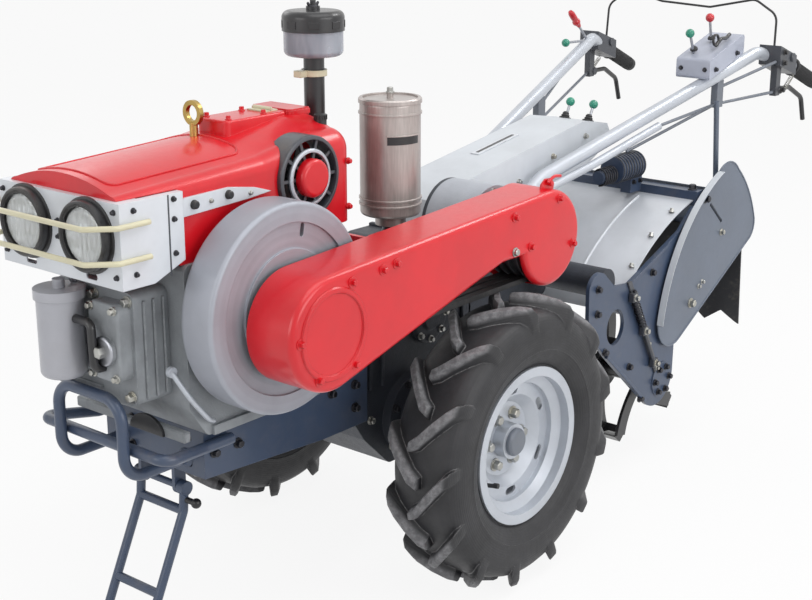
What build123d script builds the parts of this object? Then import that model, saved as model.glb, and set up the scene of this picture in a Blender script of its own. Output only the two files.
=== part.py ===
from build123d import *
import os
from math import asin, atan2, cos, hypot, pi, radians, sin, sqrt

# Two-wheeled power tiller: a single-cylinder diesel engine on a front chassis, a belt drive on
# the left, a gearbox over the axle, long handlebars and a rotary tiller behind.
#
# Millimetres. +X forward, +Y left, +Z up. The origin is on the ground at the centre of the
# outer box. Places in the tables below are measured forward from the wheel axle, left from the
# middle, and up from the ground.

# ---- overall -------------------------------------------------------------------------------
front_reach = 885           # axle to the front of the lamp guard
rear_reach = 1530           # axle to the ends of the grips
overall_height = 1215       # ground to the top of the pre-cleaner stud
axle_x = (rear_reach - front_reach) / 2

# ---- wheels --------------------------------------------------------------------------------
tyre_r = 315                # over the lugs
tyre_w = 160
track = 710                 # between the middles of the tyres
bead_r = 152.4
flange_r = 169
rim_w = 128                 # over the rim flanges
rim_t = 4
flange_t = 6
rim_well_r = 132
bead_fit = 0.3              # tyre to rim
hub_r = 78
hub_t = 14
hub_bolt_r = 58
hub_bolts = 6
hub_bolt_d = 14
hub_pilot_r = 38
axle_r = 30
run_fit = 0.05              # radial clearance of every turning shaft
wheel_z = tyre_r

# ---- gearbox -------------------------------------------------------------------------------
box_half = 95               # half width of the main gearbox casting
box_front = 190
box_rear = -340
box_top = 690
axle_tube_r = 55
axle_tube_end = 250         # from the middle to the end of an axle housing
clutch_x = -138             # clutch pulley axis
clutch_z = 724
clutch_case_r = 92
clutch_case_end = 215

# ---- chassis and front guard ---------------------------------------------------------------
rail_half = 140
rail_t = 8
rail_top = 472
rail_bottom = 378
chassis_front = 645
weight_holes = (200, 50)    # spacing of the front plate's bolt holes, across and up
weight_hole_d = 13
hoop_x = 790
hoop_half = 90
hoop_low = 410
hoop_top = 560
hoop_r = 11
bumper_x = 768
bumper_half = 178
bumper_z = 462

# ---- front stand ---------------------------------------------------------------------------
stand_pivot = (630, 335)    # x, z
stand_half = 62
stand_rod_r = 9
stand_bar_z = 139
stand_knee = (634, 288)
stand_foot = (765, 9)
stand_pin_r = 7
stand_eye_r = 14
stand_lug_t = 8
stand_gap = 0.5             # between a stand eye and its lug

# ---- engine --------------------------------------------------------------------------------
crank_x = 520
crank_z = 700
engine_rear = 330
engine_front = 690
engine_left = 158
engine_right = -150
engine_bottom = rail_top
engine_top = 800
head_front = 768
cover_y = 63                # middle of the rocker cover on the head
cover_z = 669
cover_rise = 30
fly_r = 197
fly_in = 170                # flywheel's inner face, left of the middle
fly_out = 250
fly_bowl = (112, 160)       # inner and outer radius of the shallow ring in its face
fly_bowl_depth = 5
crank_r = 28

# ---- belt drive ----------------------------------------------------------------------------
belt_in = 268               # the belts' inner edge, left of the middle
belt_pitch = 24             # from one belt to the next
belts = 3
belt_w = 17
belt_h = 11
belt_fit = 0.3
belt_rim = 12               # pulley rims stand this far above the belt seats
crank_pulley_r = 62
clutch_pulley_r = 80
guard_in = 260
guard_out = 370
guard_t = 3
guard_front = (535, 681, 107)   # x, z and radius of the front lobe
guard_rear = (clutch_x, clutch_z, 102)
guard_notch = (30, 705)     # highest point of the lower edge, x and z
boss_r = 84                 # raised ring on the front lobe

# ---- hood and lamps ------------------------------------------------------------------------
hood_half = 150
hood_t = 4
hood_rear = 235
hood_bottom = engine_top
hood_front_z = 966
hood_mid_z = 984            # top of the lid beside the lifting eye
hood_rear_z = 1008
hood_mid_x = 476
hood_rise_x = 330           # the top is level behind this
hood_crown = 24
deck = (306, 468, 42, 1013)     # raised deck: rear and front x, half width and top
lamp_back = 690
lamp_face = front_reach - 55
lamp_half = 165
lamp_bottom = 786
lamp_top = 935
lamp_y = 84
lamp_z = 871
lamp_r = 62
lamp_rim = 10
guard_bar_r = 5
lens_rise = 14
bowl_depth = 48
bowl_sheet = 3
bowl_taper = 30             # degrees, from the mouth of a lamp bowl to its back
fan_x = 367
fan_z = 906
fan_r = 80
fan_depth = 50              # the grille's ring reaches this far in from its face
fan_shaft_r = 8
eye_x = 494                 # lifting eye
eye_y = -20
eye_z = 1026
eye_r = 8
filler = (262, 88, 12)      # x, y and radius of the filler cap

# ---- air pipe and silencer -----------------------------------------------------------------
air_x = 185
air_r = 21
bowl_r = 60
bowl_bottom = 1105
cap_bottom = 1155
cap_top = 1195
silencer_x = 67
silencer_y = 100
silencer_r = 63
silencer_bottom = 775
silencer_top = 1016

# ---- handlebars ----------------------------------------------------------------------------
handle_r = 17
handle_root = (-230, box_half + handle_r, 650)
handle_knee = (-470, box_half + handle_r, 767)
handle_bend = (-1245, 258, 1000)
handle_wrist = (-1372, 290, 957)
handle_end = (-rear_reach, 298, 892)
handle_mount_t = 30         # block that carries a handlebar on the gearbox
brace_r = 10
brace = ((-430, 122, 732), (-610, 160, 781), (-845, 203, 850))
grip_r = handle_r + 2
grip_length = 150
grip_fit = 0.1
grip_wall = 4               # closed end of a grip
bracket_x = (-1268, -1366)
bracket_y = (252, 314)
bracket_up = 26             # half height of a lever bracket
lever_arm_x = (-1302, -1278)
lever_arm_y = (284, 302)
lever_arm_z = 884
lever_r = 6.5
relay_x = (-1090, -890)     # left and right relay blocks
relay_drop = 62
relay_fit = 0.2
link_r = 4
link_end = 1.8              # a slanted rod stops this far off the face that it meets
panel_x = (-1010, -1190)
panel_y = (150, 246)
panel_h = 52
cable_r = 3

# ---- gear console and levers ---------------------------------------------------------------
console_half = 80
console_t = 3
stalk_r = 3.5
stalk_sink = 10             # depth of a control rod's socket
seat_fit = 0.3
knob_r = 11.5
gear_x = (-780, -804)       # foot and knob of the gear levers
gear_half = 35
gear_foot_z = 845
gear_z = 892
gear_pad = 10

# ---- rotary --------------------------------------------------------------------------------
rotor_x = -760
rotor_z = 225
tine_r = 186
rotor_shaft_r = 24
rotary_half = 293           # middle to the outer face of the rotary frame
arm_t = 10
chain_case_t = 40
bar_x = -912                # square bar that carries the rear cover
bar_z = 668
bar_side = 36
cover_half = 300            # middle to the inner face of a rear cover's side plate
cover_t = 3
hinge_pin_r = 8
hanger_y = 251              # upright tube on the rear cover
hanger_r = 7
hood_sheet_t = 3
cross_x = -500
cross_z = 530
cross_r = 36
drum_x = (-884, -776)       # round spring housing on the bar
drum_y = 115
drum_z = 737
drum_r = 34

sides = (("left", 1), ("right", -1))

os.makedirs("parts", exist_ok=True)


# ---- planes and small makers ---------------------------------------------------------------
def side(y=0.0):
    """Upright plane along the machine at y: x forward, z up; it extrudes to the right."""
    return Plane(origin=(axle_x, y, 0), x_dir=(1, 0, 0), z_dir=(0, -1, 0))


def across(x=0.0):
    """Upright plane across the machine at x: y to the left, z up; it extrudes forward."""
    return Plane(origin=(axle_x + x, 0, 0), x_dir=(0, 1, 0), z_dir=(1, 0, 0))


def level(z=0.0):
    """Flat plane at height z: x forward, y left; it extrudes upward."""
    return Plane(origin=(axle_x, 0, z), x_dir=(1, 0, 0), z_dir=(0, 0, 1))


def spin_axis(x, z):
    """Axis across the machine through x, z."""
    return Axis((axle_x + x, 0, z), (0, 1, 0))


def save(piece, label):
    """Name a finished piece and write it."""
    piece.part.label = label
    export_step(piece.part, f"parts/{label}.step")


def rod(points, radius, bend=30.0, mode=Mode.ADD):
    """Round bar through the points, its corners bent to one radius."""
    places = [(axle_x + x, y, z) for x, y, z in points]
    with BuildLine() as run:
        if len(places) == 2:
            Line(*places)
        else:
            FilletPolyline(*places, radius=bend)
    with BuildSketch(Plane(origin=run.line @ 0, z_dir=run.line % 0)) as end:
        Circle(radius)
    sweep(sections=end.sketch, path=run.line, mode=mode)


def disc(x, y_from, y_to, z, radius, mode=Mode.ADD):
    """Cylinder across the machine between two y values."""
    with BuildSketch(side(max(y_from, y_to))) as face:
        with Locations((x, z)):
            Circle(radius)
    extrude(face.sketch, amount=abs(y_to - y_from), mode=mode)


def slab(outline, y_from, y_to, mode=Mode.ADD):
    """Plate with the given side outline between two y values."""
    with BuildSketch(side(max(y_from, y_to))) as face:
        with BuildLine():
            Polyline(*outline, close=True)
        make_face()
    extrude(face.sketch, amount=abs(y_to - y_from), mode=mode)


def block(x_from, x_to, y_from, y_to, z_from, z_to, mode=Mode.ADD):
    """Rectangular block between its low and high corners."""
    with BuildSketch(level(z_from)) as face:
        with Locations(((x_from + x_to) / 2, (y_from + y_to) / 2)):
            Rectangle(x_to - x_from, abs(y_to - y_from))
    extrude(face.sketch, amount=z_to - z_from, mode=mode)


def post(x, y, z_from, z_to, radius, mode=Mode.ADD):
    """Upright cylinder."""
    with BuildSketch(level(z_from)) as face:
        with Locations((x, y)):
            Circle(radius)
    extrude(face.sketch, amount=z_to - z_from, mode=mode)


# ---- wheels --------------------------------------------------------------------------------
bead_y = rim_w / 2 - flange_t
edge = rim_w / 2
bead_back = bead_r - rim_t
well_back = rim_well_r - rim_t
for name, s in sides:
    mid = s * track / 2
    with BuildPart() as tyre:
        with BuildSketch(across()):
            with BuildLine():
                bead_in = wheel_z + bead_r + bead_fit
                left_bead = (mid - bead_y + bead_fit, bead_in)
                right_bead = (mid + bead_y - bead_fit, bead_in)
                left_lip = (left_bead[0], wheel_z + flange_r + 2)
                right_lip = (right_bead[0], wheel_z + flange_r + 2)
                left_wide = (mid - tyre_w / 2, wheel_z + 238)
                right_wide = (mid + tyre_w / 2, wheel_z + 238)
                left_crown = (mid - tyre_w / 2 + 6, wheel_z + tyre_r - 22)
                right_crown = (mid + tyre_w / 2 - 6, wheel_z + tyre_r - 22)
                Line(left_bead, right_bead)
                Line(right_bead, right_lip)
                ThreePointArc(right_lip, (mid + tyre_w / 2 - 6, wheel_z + 200), right_wide)
                Line(right_wide, right_crown)
                ThreePointArc(right_crown, (mid, wheel_z + tyre_r), left_crown)
                Line(left_crown, left_wide)
                ThreePointArc(left_wide, (mid - tyre_w / 2 + 6, wheel_z + 200), left_lip)
                Line(left_lip, left_bead)
            make_face()
        revolve(axis=spin_axis(0, wheel_z))
    save(tyre, f"tyre_{name}")

    with BuildPart() as rim:
        with BuildSketch(across()):
            with BuildLine():
                Polyline(
                    *[(mid + y, wheel_z + r) for y, r in (
                        (-edge, flange_r), (-bead_y, flange_r), (-bead_y, bead_r), (-40, bead_r),
                        (-30, rim_well_r), (30, rim_well_r), (40, bead_r), (bead_y, bead_r),
                        (bead_y, flange_r), (edge, flange_r), (edge, bead_back), (43, bead_back),
                        (32, well_back), (-32, well_back), (-43, bead_back), (-edge, bead_back))],
                    close=True,
                )
            make_face()
            with BuildLine():
                Polyline(
                    *[(mid + s * y, wheel_z + r) for y, r in (
                        (-8, hub_pilot_r), (-8, 84), (14, 104), (14, well_back + 1),
                        (20, well_back + 1), (20, 100), (-2, 80), (-2, hub_pilot_r))],
                    close=True,
                )
            make_face()
        revolve(axis=spin_axis(0, wheel_z))
        with BuildSketch(side(mid + 40)):
            with Locations((0, wheel_z)):
                with PolarLocations(hub_bolt_r, hub_bolts):
                    Circle(hub_bolt_d / 2)
                with PolarLocations(112, 6, start_angle=30):
                    SlotOverall(34, 16, rotation=90)
        extrude(amount=80, mode=Mode.SUBTRACT)
    save(rim, f"rim_{name}")

    with BuildPart() as hub:
        disc(0, mid - s * 8, mid - s * (8 + hub_t), wheel_z, hub_r)
        disc(0, mid - s * 8, mid + s * 26, wheel_z, hub_pilot_r - run_fit)
        disc(0, mid - s * 20, s * (axle_tube_end + 6), wheel_z, 42)
        disc(0, s * (axle_tube_end + 7), s * (axle_tube_end - 70), wheel_z, axle_r)
        with BuildSketch(side(mid + 40)):
            with Locations((0, wheel_z)):
                with PolarLocations(hub_bolt_r, hub_bolts):
                    Circle(hub_bolt_d / 2)
        extrude(amount=80, mode=Mode.SUBTRACT)
    save(hub, f"hub_{name}")

# ---- gearbox -------------------------------------------------------------------------------
with BuildPart() as gearbox:
    slab(((box_front, 350), (box_front, 560), (120, 640), (-20, box_top), (-240, box_top),
          (box_rear, 600), (box_rear, 430), (-250, 300), (-90, 212), (70, 212), (150, 290)),
         -box_half, box_half)
    fillet(gearbox.edges().filter_by(Axis.Y), 20)
    for name, s in sides:
        disc(0, s * (box_half - 5), s * axle_tube_end, wheel_z, axle_tube_r)
        disc(0, s * (box_half - 5), s * (box_half + 22), wheel_z, axle_tube_r + 35)
        disc(0, s * (axle_tube_end - 18), s * axle_tube_end, wheel_z, axle_tube_r + 14)
        disc(0, s * (axle_tube_end - 76), s * axle_tube_end, wheel_z, axle_r + run_fit,
             mode=Mode.SUBTRACT)
    disc(clutch_x, box_half - 5, clutch_case_end, clutch_z, clutch_case_r)
    disc(clutch_x, clutch_case_end - 60, clutch_case_end + 30, clutch_z, 45)
    block(clutch_x - 80, clutch_x + 80, box_half - 5, clutch_case_end - 40, 560, clutch_z)
    disc(clutch_x, clutch_case_end - 30, clutch_case_end + 30, clutch_z, crank_r + run_fit,
         mode=Mode.SUBTRACT)
save(gearbox, "gearbox")

# ---- chassis -------------------------------------------------------------------------------
with BuildPart() as chassis:
    rail_rear = box_front + 12
    rail = ((chassis_front, rail_bottom), (chassis_front, rail_top), (rail_rear, rail_top),
            (rail_rear, rail_bottom - 20), (rail_rear + 120, rail_bottom - 20))
    slab(rail, rail_half - rail_t, rail_half)
    slab(rail, -rail_half, -rail_half + rail_t)
    block(chassis_front - rail_t, chassis_front, -rail_half, rail_half, rail_bottom, rail_top)
    block(box_front, rail_rear + 1, -rail_half, rail_half, rail_bottom - 20, rail_top + 70)
    for s in (1, -1):
        block(rail_rear, chassis_front, s * (rail_half - 22) - 22, s * (rail_half - 22) + 22,
              rail_top - rail_t, rail_top)
    block(400, 440, -rail_half, rail_half, rail_top - 50, rail_top)
    with BuildSketch(across(chassis_front)):
        with Locations((0, (rail_top + rail_bottom) / 2)):
            with GridLocations(weight_holes[0], weight_holes[1], 2, 2):
                Circle(weight_hole_d / 2)
    extrude(amount=-rail_t, mode=Mode.SUBTRACT)
    # lugs that carry the stand's pin
    px, pz = stand_pivot
    for s in (1, -1):
        inner = s * (stand_half - stand_rod_r - stand_gap - stand_lug_t)
        outer = s * (stand_half - stand_rod_r - stand_gap)
        disc(px, inner, outer, pz, stand_eye_r)
        block(px - stand_eye_r, px + stand_eye_r, inner, outer, pz, rail_bottom + 12)
    block(px - 34, chassis_front, -stand_half, stand_half, rail_bottom, rail_bottom + 12)
    disc(px, -stand_half, stand_half, pz, stand_pin_r + run_fit, mode=Mode.SUBTRACT)
save(chassis, "chassis")

with BuildPart() as hoop:
    rod(((chassis_front, hoop_half, hoop_low), (hoop_x, hoop_half, hoop_low),
         (hoop_x, hoop_half, hoop_top), (hoop_x, -hoop_half, hoop_top),
         (hoop_x, -hoop_half, hoop_low), (chassis_front, -hoop_half, hoop_low)),
        hoop_r, bend=44)
    rod(((chassis_front - 60, rail_half + hoop_r, bumper_z - 16),
         (chassis_front + 10, rail_half + hoop_r, bumper_z - 16),
         (bumper_x, bumper_half, bumper_z), (bumper_x, -bumper_half, bumper_z),
         (chassis_front + 10, -rail_half - hoop_r, bumper_z - 16),
         (chassis_front - 60, -rail_half - hoop_r, bumper_z - 16)), hoop_r, bend=22)
save(hoop, "front_hoop")

# ---- front stand ---------------------------------------------------------------------------
with BuildPart() as stand:
    for s in (1, -1):
        y = s * stand_half
        disc(px, y - stand_rod_r, y + stand_rod_r, pz, stand_eye_r)
        rod(((px, y, pz), (stand_knee[0], y, stand_knee[1]), (stand_foot[0], y, stand_foot[1])),
            stand_rod_r, bend=20)
    for x, z in (stand_knee, (stand_knee[0] + 70, stand_bar_z), stand_foot):
        disc(x, -stand_half, stand_half, z, stand_rod_r)
    disc(px, -stand_half, stand_half, pz, stand_pin_r)
save(stand, "front_stand")

# ---- engine --------------------------------------------------------------------------------
with BuildPart() as engine:
    slab(((engine_rear, engine_bottom), (engine_rear, engine_top), (engine_front, engine_top),
          (engine_front, engine_bottom + 60), (engine_front - 40, engine_bottom)),
         engine_right, engine_left)
    fillet(engine.edges().filter_by(Axis.Y), 14)
    for s, y in ((1, engine_left), (-1, engine_right)):
        block(engine_rear + 30, engine_front - 50, y - s * 20, y + s * 8, engine_bottom,
              engine_bottom + 18)
    disc(crank_x, engine_left - 10, engine_left + 8, crank_z, 92)
    disc(crank_x, engine_left - 60, engine_left + 10, crank_z, crank_r + run_fit,
         mode=Mode.SUBTRACT)
save(engine, "engine_block")

with BuildPart() as head:
    block(engine_front, head_front, -100, 112, 548, 758)
    fillet(head.edges().filter_by(Axis.X), 18)
    with BuildSketch(across(head_front)):
        with Locations((cover_y, cover_z)):
            RectangleRounded(82, 146, 20)
    extrude(amount=cover_rise)
    fillet(head.faces().sort_by(Axis.X)[-1].edges(), 6)
    with BuildSketch(across(head_front + cover_rise)):
        with Locations((cover_y + 7, cover_z - 14)):
            Circle(26)
    extrude(amount=6)
save(head, "cylinder_head")

filter_x = 815
filter_y = -32
filter_r = 42
with BuildPart() as oil_filter:
    post(filter_x, filter_y, 592, 738, filter_r)
    fillet(oil_filter.faces().sort_by(Axis.Z)[0].edges(), 12)
    post(filter_x, filter_y, 738, 756, filter_r + 4)
    post(filter_x, filter_y, 756, 772, 11)
    block(head_front, filter_x, filter_y - 18, filter_y + 18, 738, 756)
save(oil_filter, "filter_canister")

with BuildPart() as head_pipe:
    rod(((filter_x, filter_y + filter_r + 0.3, 706), (filter_x, 52, 706),
         (filter_x + 4, 60, 622), (head_front + cover_rise, 60, 622)), 8, bend=14)
save(head_pipe, "oil_pipe")

# ---- flywheel and crank pulley -------------------------------------------------------------
with BuildPart() as flywheel:
    disc(crank_x, fly_in, fly_out, crank_z, fly_r)
    fillet(flywheel.faces().sort_by(Axis.Y)[-1].edges(), 8)
    fillet(flywheel.faces().sort_by(Axis.Y)[0].edges(), 12)
    disc(crank_x, fly_out - fly_bowl_depth, fly_out, crank_z, fly_bowl[1], mode=Mode.SUBTRACT)
    disc(crank_x, fly_out - fly_bowl_depth - 1, fly_out - 1, crank_z, fly_bowl[0])
    disc(crank_x, fly_out - 20, fly_out, crank_z, 84, mode=Mode.SUBTRACT)
    disc(crank_x, fly_in, fly_in + 30, crank_z, fly_r - 30, mode=Mode.SUBTRACT)
    disc(crank_x, fly_in, fly_out - 20, crank_z, 60)
    disc(crank_x, engine_left - 50, fly_in + 2, crank_z, crank_r)
    with BuildSketch(side(fly_out)) as pocket:
        with Locations((crank_x - 38, crank_z + 141)):
            SlotOverall(26, 10, rotation=100)
    extrude(pocket.sketch, amount=14, mode=Mode.SUBTRACT)
save(flywheel, "flywheel")


def grooved_pulley(x, z, seat_r, hub_end):
    """Pulley with one seat for each belt, on a hub that runs in to hub_end."""
    gap = belt_pitch - belt_w - 2 * belt_fit
    low = belt_in - belt_fit - gap
    high = belt_in + belts * belt_pitch - belt_fit
    disc(x, low, high, z, seat_r)
    for i in range(belts + 1):
        y = low + i * belt_pitch
        disc(x, y, y + gap, z, seat_r + belt_rim)
    disc(x, hub_end, low + 1, z, crank_r)


with BuildPart() as crank_pulley:
    grooved_pulley(crank_x, crank_z, crank_pulley_r, fly_out - 20)
save(crank_pulley, "crank_pulley")

with BuildPart() as clutch_pulley:
    grooved_pulley(clutch_x, clutch_z, clutch_pulley_r, clutch_case_end - 20)
save(clutch_pulley, "clutch_pulley")

with BuildPart() as v_belts:
    for i in range(belts):
        y = belt_in + i * belt_pitch
        for extra, mode in ((belt_h + belt_fit, Mode.ADD), (belt_fit, Mode.SUBTRACT)):
            with BuildSketch(side(y + belt_w)) as loop:
                with Locations((crank_x, crank_z)):
                    Circle(crank_pulley_r + extra)
                with Locations((clutch_x, clutch_z)):
                    Circle(clutch_pulley_r + extra)
                make_hull()
            extrude(loop.sketch, amount=belt_w, mode=mode)
save(v_belts, "v_belts")

# ---- belt guard ----------------------------------------------------------------------------
def tangent_point(px, pz, cx, cz, r, turn):
    """Where the line from a point touches a circle, on the side that turn picks."""
    reach = hypot(cx - px, cz - pz)
    angle = atan2(cz - pz, cx - px) + turn * asin(r / reach)
    run = sqrt(reach**2 - r**2)
    return px + run * cos(angle), pz + run * sin(angle)


def guard_outline(shrink):
    """Guard seen from the side: a lobe round each pulley, joined over a notched lower edge."""
    front_x, front_z, front = guard_front[0], guard_front[1], guard_front[2] - shrink
    rear_x, rear_z, rear = guard_rear[0], guard_rear[1], guard_rear[2] - shrink
    reach = hypot(front_x - rear_x, rear_z - front_z)
    tilt = atan2(rear_z - front_z, rear_x - front_x)
    top = tilt - pi / 2 - asin((rear - front) / reach)
    notch = (guard_notch[0], guard_notch[1] + shrink)
    low = tangent_point(*notch, front_x, front_z, front, -1)
    with Locations((front_x, front_z)):
        Circle(front)
    with Locations((rear_x, rear_z)):
        Circle(rear)
    with BuildLine() as body:
        Polyline((front_x, front_z), (front_x + front * cos(top), front_z + front * sin(top)),
                 (rear_x + rear * cos(top), rear_z + rear * sin(top)), (rear_x, rear_z),
                 (rear_x + rear - 4, notch[1]), notch, low, close=True)
    make_face(body.edges())


with BuildPart() as guard_core:
    with BuildSketch(side(guard_out - guard_t)):
        guard_outline(guard_t)
    extrude(amount=guard_out - guard_t - guard_in + 1)
    fillet(guard_core.faces().sort_by(Axis.Y)[-1].edges(), 10)
    slab(((crank_x - 56, crank_z - 140), (crank_x - 56, crank_z - 60), (30, guard_notch[1] + 12),
          (clutch_x + 60, guard_notch[1] + 12), (clutch_x + 14, clutch_z - 140)),
         guard_in - 1, guard_out - guard_t - 10)

with BuildPart() as guard:
    with BuildSketch(side(guard_out)):
        guard_outline(0)
    extrude(amount=guard_out - guard_in)
    fillet(guard.faces().sort_by(Axis.Y)[-1].edges(), 10 + guard_t)
    disc(guard_front[0], guard_out, guard_out + 3, guard_front[1], boss_r)
    disc(guard_front[0], guard_out, guard_out + 3, guard_front[1], boss_r - 9, mode=Mode.SUBTRACT)
    add(guard_core.part, mode=Mode.SUBTRACT)
    disc(clutch_x, guard_in - 3, guard_in, clutch_z, guard_rear[2])
    disc(clutch_x, guard_in - 3, guard_in, clutch_z, 62, mode=Mode.SUBTRACT)
    for turn in (90, 200, 330):
        disc(clutch_x + 75 * cos(radians(turn)), clutch_case_end, guard_in - 2,
             clutch_z + 75 * sin(radians(turn)), 9)
    slab(((284, 650), (316, 643), (316, 800), (284, 801.5)), guard_in - 3, guard_in)
    block(296, 306, 132, guard_in - 2, 700, 790)
    block(296, engine_rear, 132, 154, 700, 790)
save(guard, "belt_guard")

# ---- lamp housing and lamps ----------------------------------------------------------------
with BuildPart() as lamp_box:
    shell = ((lamp_face, lamp_bottom), (lamp_face, lamp_top), (lamp_back, lamp_top),
             (lamp_back, lamp_bottom + 28), (lamp_face - 70, lamp_bottom))
    slab(shell, -lamp_half, lamp_half)
    block(lamp_back - 1, lamp_face - 3, -lamp_half + 3, lamp_half - 3, lamp_bottom - 1,
          lamp_top - 3, mode=Mode.SUBTRACT)
    block(lamp_back - 1, lamp_face - 50, -hood_half, hood_half, lamp_bottom, lamp_top + 1,
          mode=Mode.SUBTRACT)
    block(lamp_face - 26, lamp_face - 2, -lamp_half + 1, lamp_half - 1, lamp_bottom,
          lamp_bottom + 3)
    for s in (1, -1):
        with BuildSketch(across(lamp_face)) as holes:
            with Locations((s * lamp_y, lamp_z)):
                Circle(lamp_r - lamp_rim)
        extrude(holes.sketch, amount=-6, mode=Mode.SUBTRACT)
        with BuildSketch(across(lamp_face)) as slots:
            with Locations((s * lamp_y, lamp_bottom + 13)):
                SlotOverall(30, 11)
        extrude(slots.sketch, amount=-6, mode=Mode.SUBTRACT)
save(lamp_box, "lamp_housing")

with BuildPart() as lamp_rims:
    for s in (1, -1):
        with BuildSketch(across(lamp_face)) as ring:
            with Locations((s * lamp_y, lamp_z)):
                Circle(lamp_r)
                Circle(lamp_r - lamp_rim, mode=Mode.SUBTRACT)
        extrude(ring.sketch, amount=16)
save(lamp_rims, "headlamp_rims")

lens_r = lamp_r - lamp_rim
with BuildPart() as lamp_lenses:
    for s in (1, -1):
        with BuildSketch(across(lamp_face + 1)) as disc_face:
            with Locations((s * lamp_y, lamp_z)):
                Circle(lens_r)
        extrude(disc_face.sketch, amount=lens_rise)
    fillet(lamp_lenses.edges().filter_by(GeomType.CIRCLE).group_by(Axis.X)[-1], lens_rise - 3)
save(lamp_lenses, "headlamp_lenses")

with BuildPart() as lamp_bowls:
    for s in (1, -1):
        for extra, mode in ((0, Mode.ADD), (bowl_sheet, Mode.SUBTRACT)):
            with BuildSketch(across(lamp_face - 0.3)) as mouth:
                with Locations((s * lamp_y, lamp_z)):
                    Circle(lens_r - extra)
            extrude(mouth.sketch, amount=extra - bowl_depth, taper=bowl_taper, mode=mode)
save(lamp_bowls, "headlamp_bowls")

guard_bar_x = front_reach - guard_bar_r
with BuildPart() as lamp_guard:
    for z in (lamp_z + 26, lamp_z - 34):
        end_y = lamp_half + guard_bar_r + 0.2
        rod(((lamp_face - 60, end_y, z), (lamp_face + 8, end_y, z), (guard_bar_x, 130, z),
             (guard_bar_x, -130, z), (lamp_face + 8, -end_y, z), (lamp_face - 60, -end_y, z)),
            guard_bar_r, bend=12)
save(lamp_guard, "lamp_guard")


# ---- hood ----------------------------------------------------------------------------------
hood_lip = lamp_face - 12


def hood_section(x, half, low, top, corner):
    """Hood cut across: upright sides, round shoulders and a crowned top."""
    rise = top - hood_crown
    with BuildSketch(across(x)) as section:
        with BuildLine():
            Line((-half, low), (half, low))
            Line((half, low), (half, rise - corner))
            RadiusArc((half, rise - corner), (half - corner, rise), -corner)
            ThreePointArc((half - corner, rise), (0, top), (corner - half, rise))
            RadiusArc((corner - half, rise), (-half, rise - corner), -corner)
            Line((-half, rise - corner), (-half, low))
        make_face()
    return section.sketch


def hood_form(inset, low):
    """Hood's outer form, or its hollow where inset is the sheet's thickness."""
    stations = (  # x, top and shoulder radius, from the front lip to the back
        (hood_lip - inset, hood_front_z, 20),
        (hood_mid_x, hood_mid_z, 30),
        (hood_rise_x, hood_rear_z, 42),
        (hood_rear + inset, hood_rear_z, 42),
    )
    loft([hood_section(x, hood_half - inset, low, top - inset, corner - inset / 2)
          for x, top, corner in stations], ruled=True)
    fillet(faces().sort_by(Axis.X)[0].edges().sort_by(Axis.Z)[1:], 34 - inset)


with BuildPart() as hood_hollow:
    hood_form(hood_t, hood_bottom - 1)

with BuildPart() as hood:
    hood_form(0, hood_bottom)
    block(lamp_back, hood_lip + 2, -hood_half - 2, hood_half + 2, hood_bottom - 10, lamp_top,
          mode=Mode.SUBTRACT)
    with BuildPart(mode=Mode.PRIVATE) as deck_form:
        block(deck[0], deck[1], -deck[2], deck[2], hood_mid_z - 30, deck[3])
        fillet(deck_form.edges().filter_by(Axis.Z), 12)
        fillet(deck_form.faces().sort_by(Axis.Z)[-1].edges(), 5)
    add(deck_form.part)
    add(hood_hollow.part, mode=Mode.SUBTRACT)
    disc(fan_x, hood_half + 6 - fan_depth - seat_fit, hood_half + 1, fan_z, fan_r + seat_fit,
         mode=Mode.SUBTRACT)
    post(filler[0], filler[1], hood_rear_z - 60, hood_rear_z + 5, filler[2] + seat_fit,
         mode=Mode.SUBTRACT)
    post(eye_x, eye_y, hood_rear_z - 60, hood_rear_z + 5, eye_r + seat_fit, mode=Mode.SUBTRACT)
save(hood, "hood")

with BuildPart() as hood_trim:
    slab(((717, 884), (711, 909), (674, 919), (572, 921), (506, 910), (466, 897), (524, 892)),
         hood_half, hood_half + 4)
save(hood_trim, "hood_trim")

with BuildPart() as lifting_eye:
    with BuildSketch(across(eye_x - 4.5)):
        with Locations((eye_y, eye_z)):
            Circle(24)
            Circle(15, mode=Mode.SUBTRACT)
    extrude(amount=9)
    post(eye_x, eye_y, engine_top, eye_z - 18, eye_r)
save(lifting_eye, "lifting_eye")

with BuildPart() as filler_cap:
    post(filler[0], filler[1], hood_rear_z - 44, hood_rear_z - 2, filler[2])
save(filler_cap, "filler_cap")

with BuildPart() as fan_grille:
    with BuildSketch(side(hood_half + 6)) as face:
        with Locations((fan_x, fan_z)):
            Circle(fan_r)
            Circle(fan_r - 9, mode=Mode.SUBTRACT)
            Circle(54)
            Circle(48, mode=Mode.SUBTRACT)
            Circle(30)
            with PolarLocations((fan_r + 26) / 2, 10):
                Rectangle(fan_r - 30, 6)
    extrude(face.sketch, amount=6)
    with BuildSketch(side(hood_half + 6)) as ring:
        with Locations((fan_x, fan_z)):
            Circle(fan_r)
            Circle(fan_r - 9, mode=Mode.SUBTRACT)
    extrude(ring.sketch, amount=fan_depth)
    disc(fan_x, hood_half - 24, hood_half + 2, fan_z, 20)
    disc(fan_x, hood_half - 25, hood_half - 6, fan_z, fan_shaft_r + run_fit, mode=Mode.SUBTRACT)
save(fan_grille, "fan_grille")

with BuildPart() as fan_cap:
    disc(fan_x, hood_half + 6, hood_half + 26, fan_z, 37)
    fillet(fan_cap.faces().sort_by(Axis.Y)[-1].edges(), 9)
save(fan_cap, "fan_cap")

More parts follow.
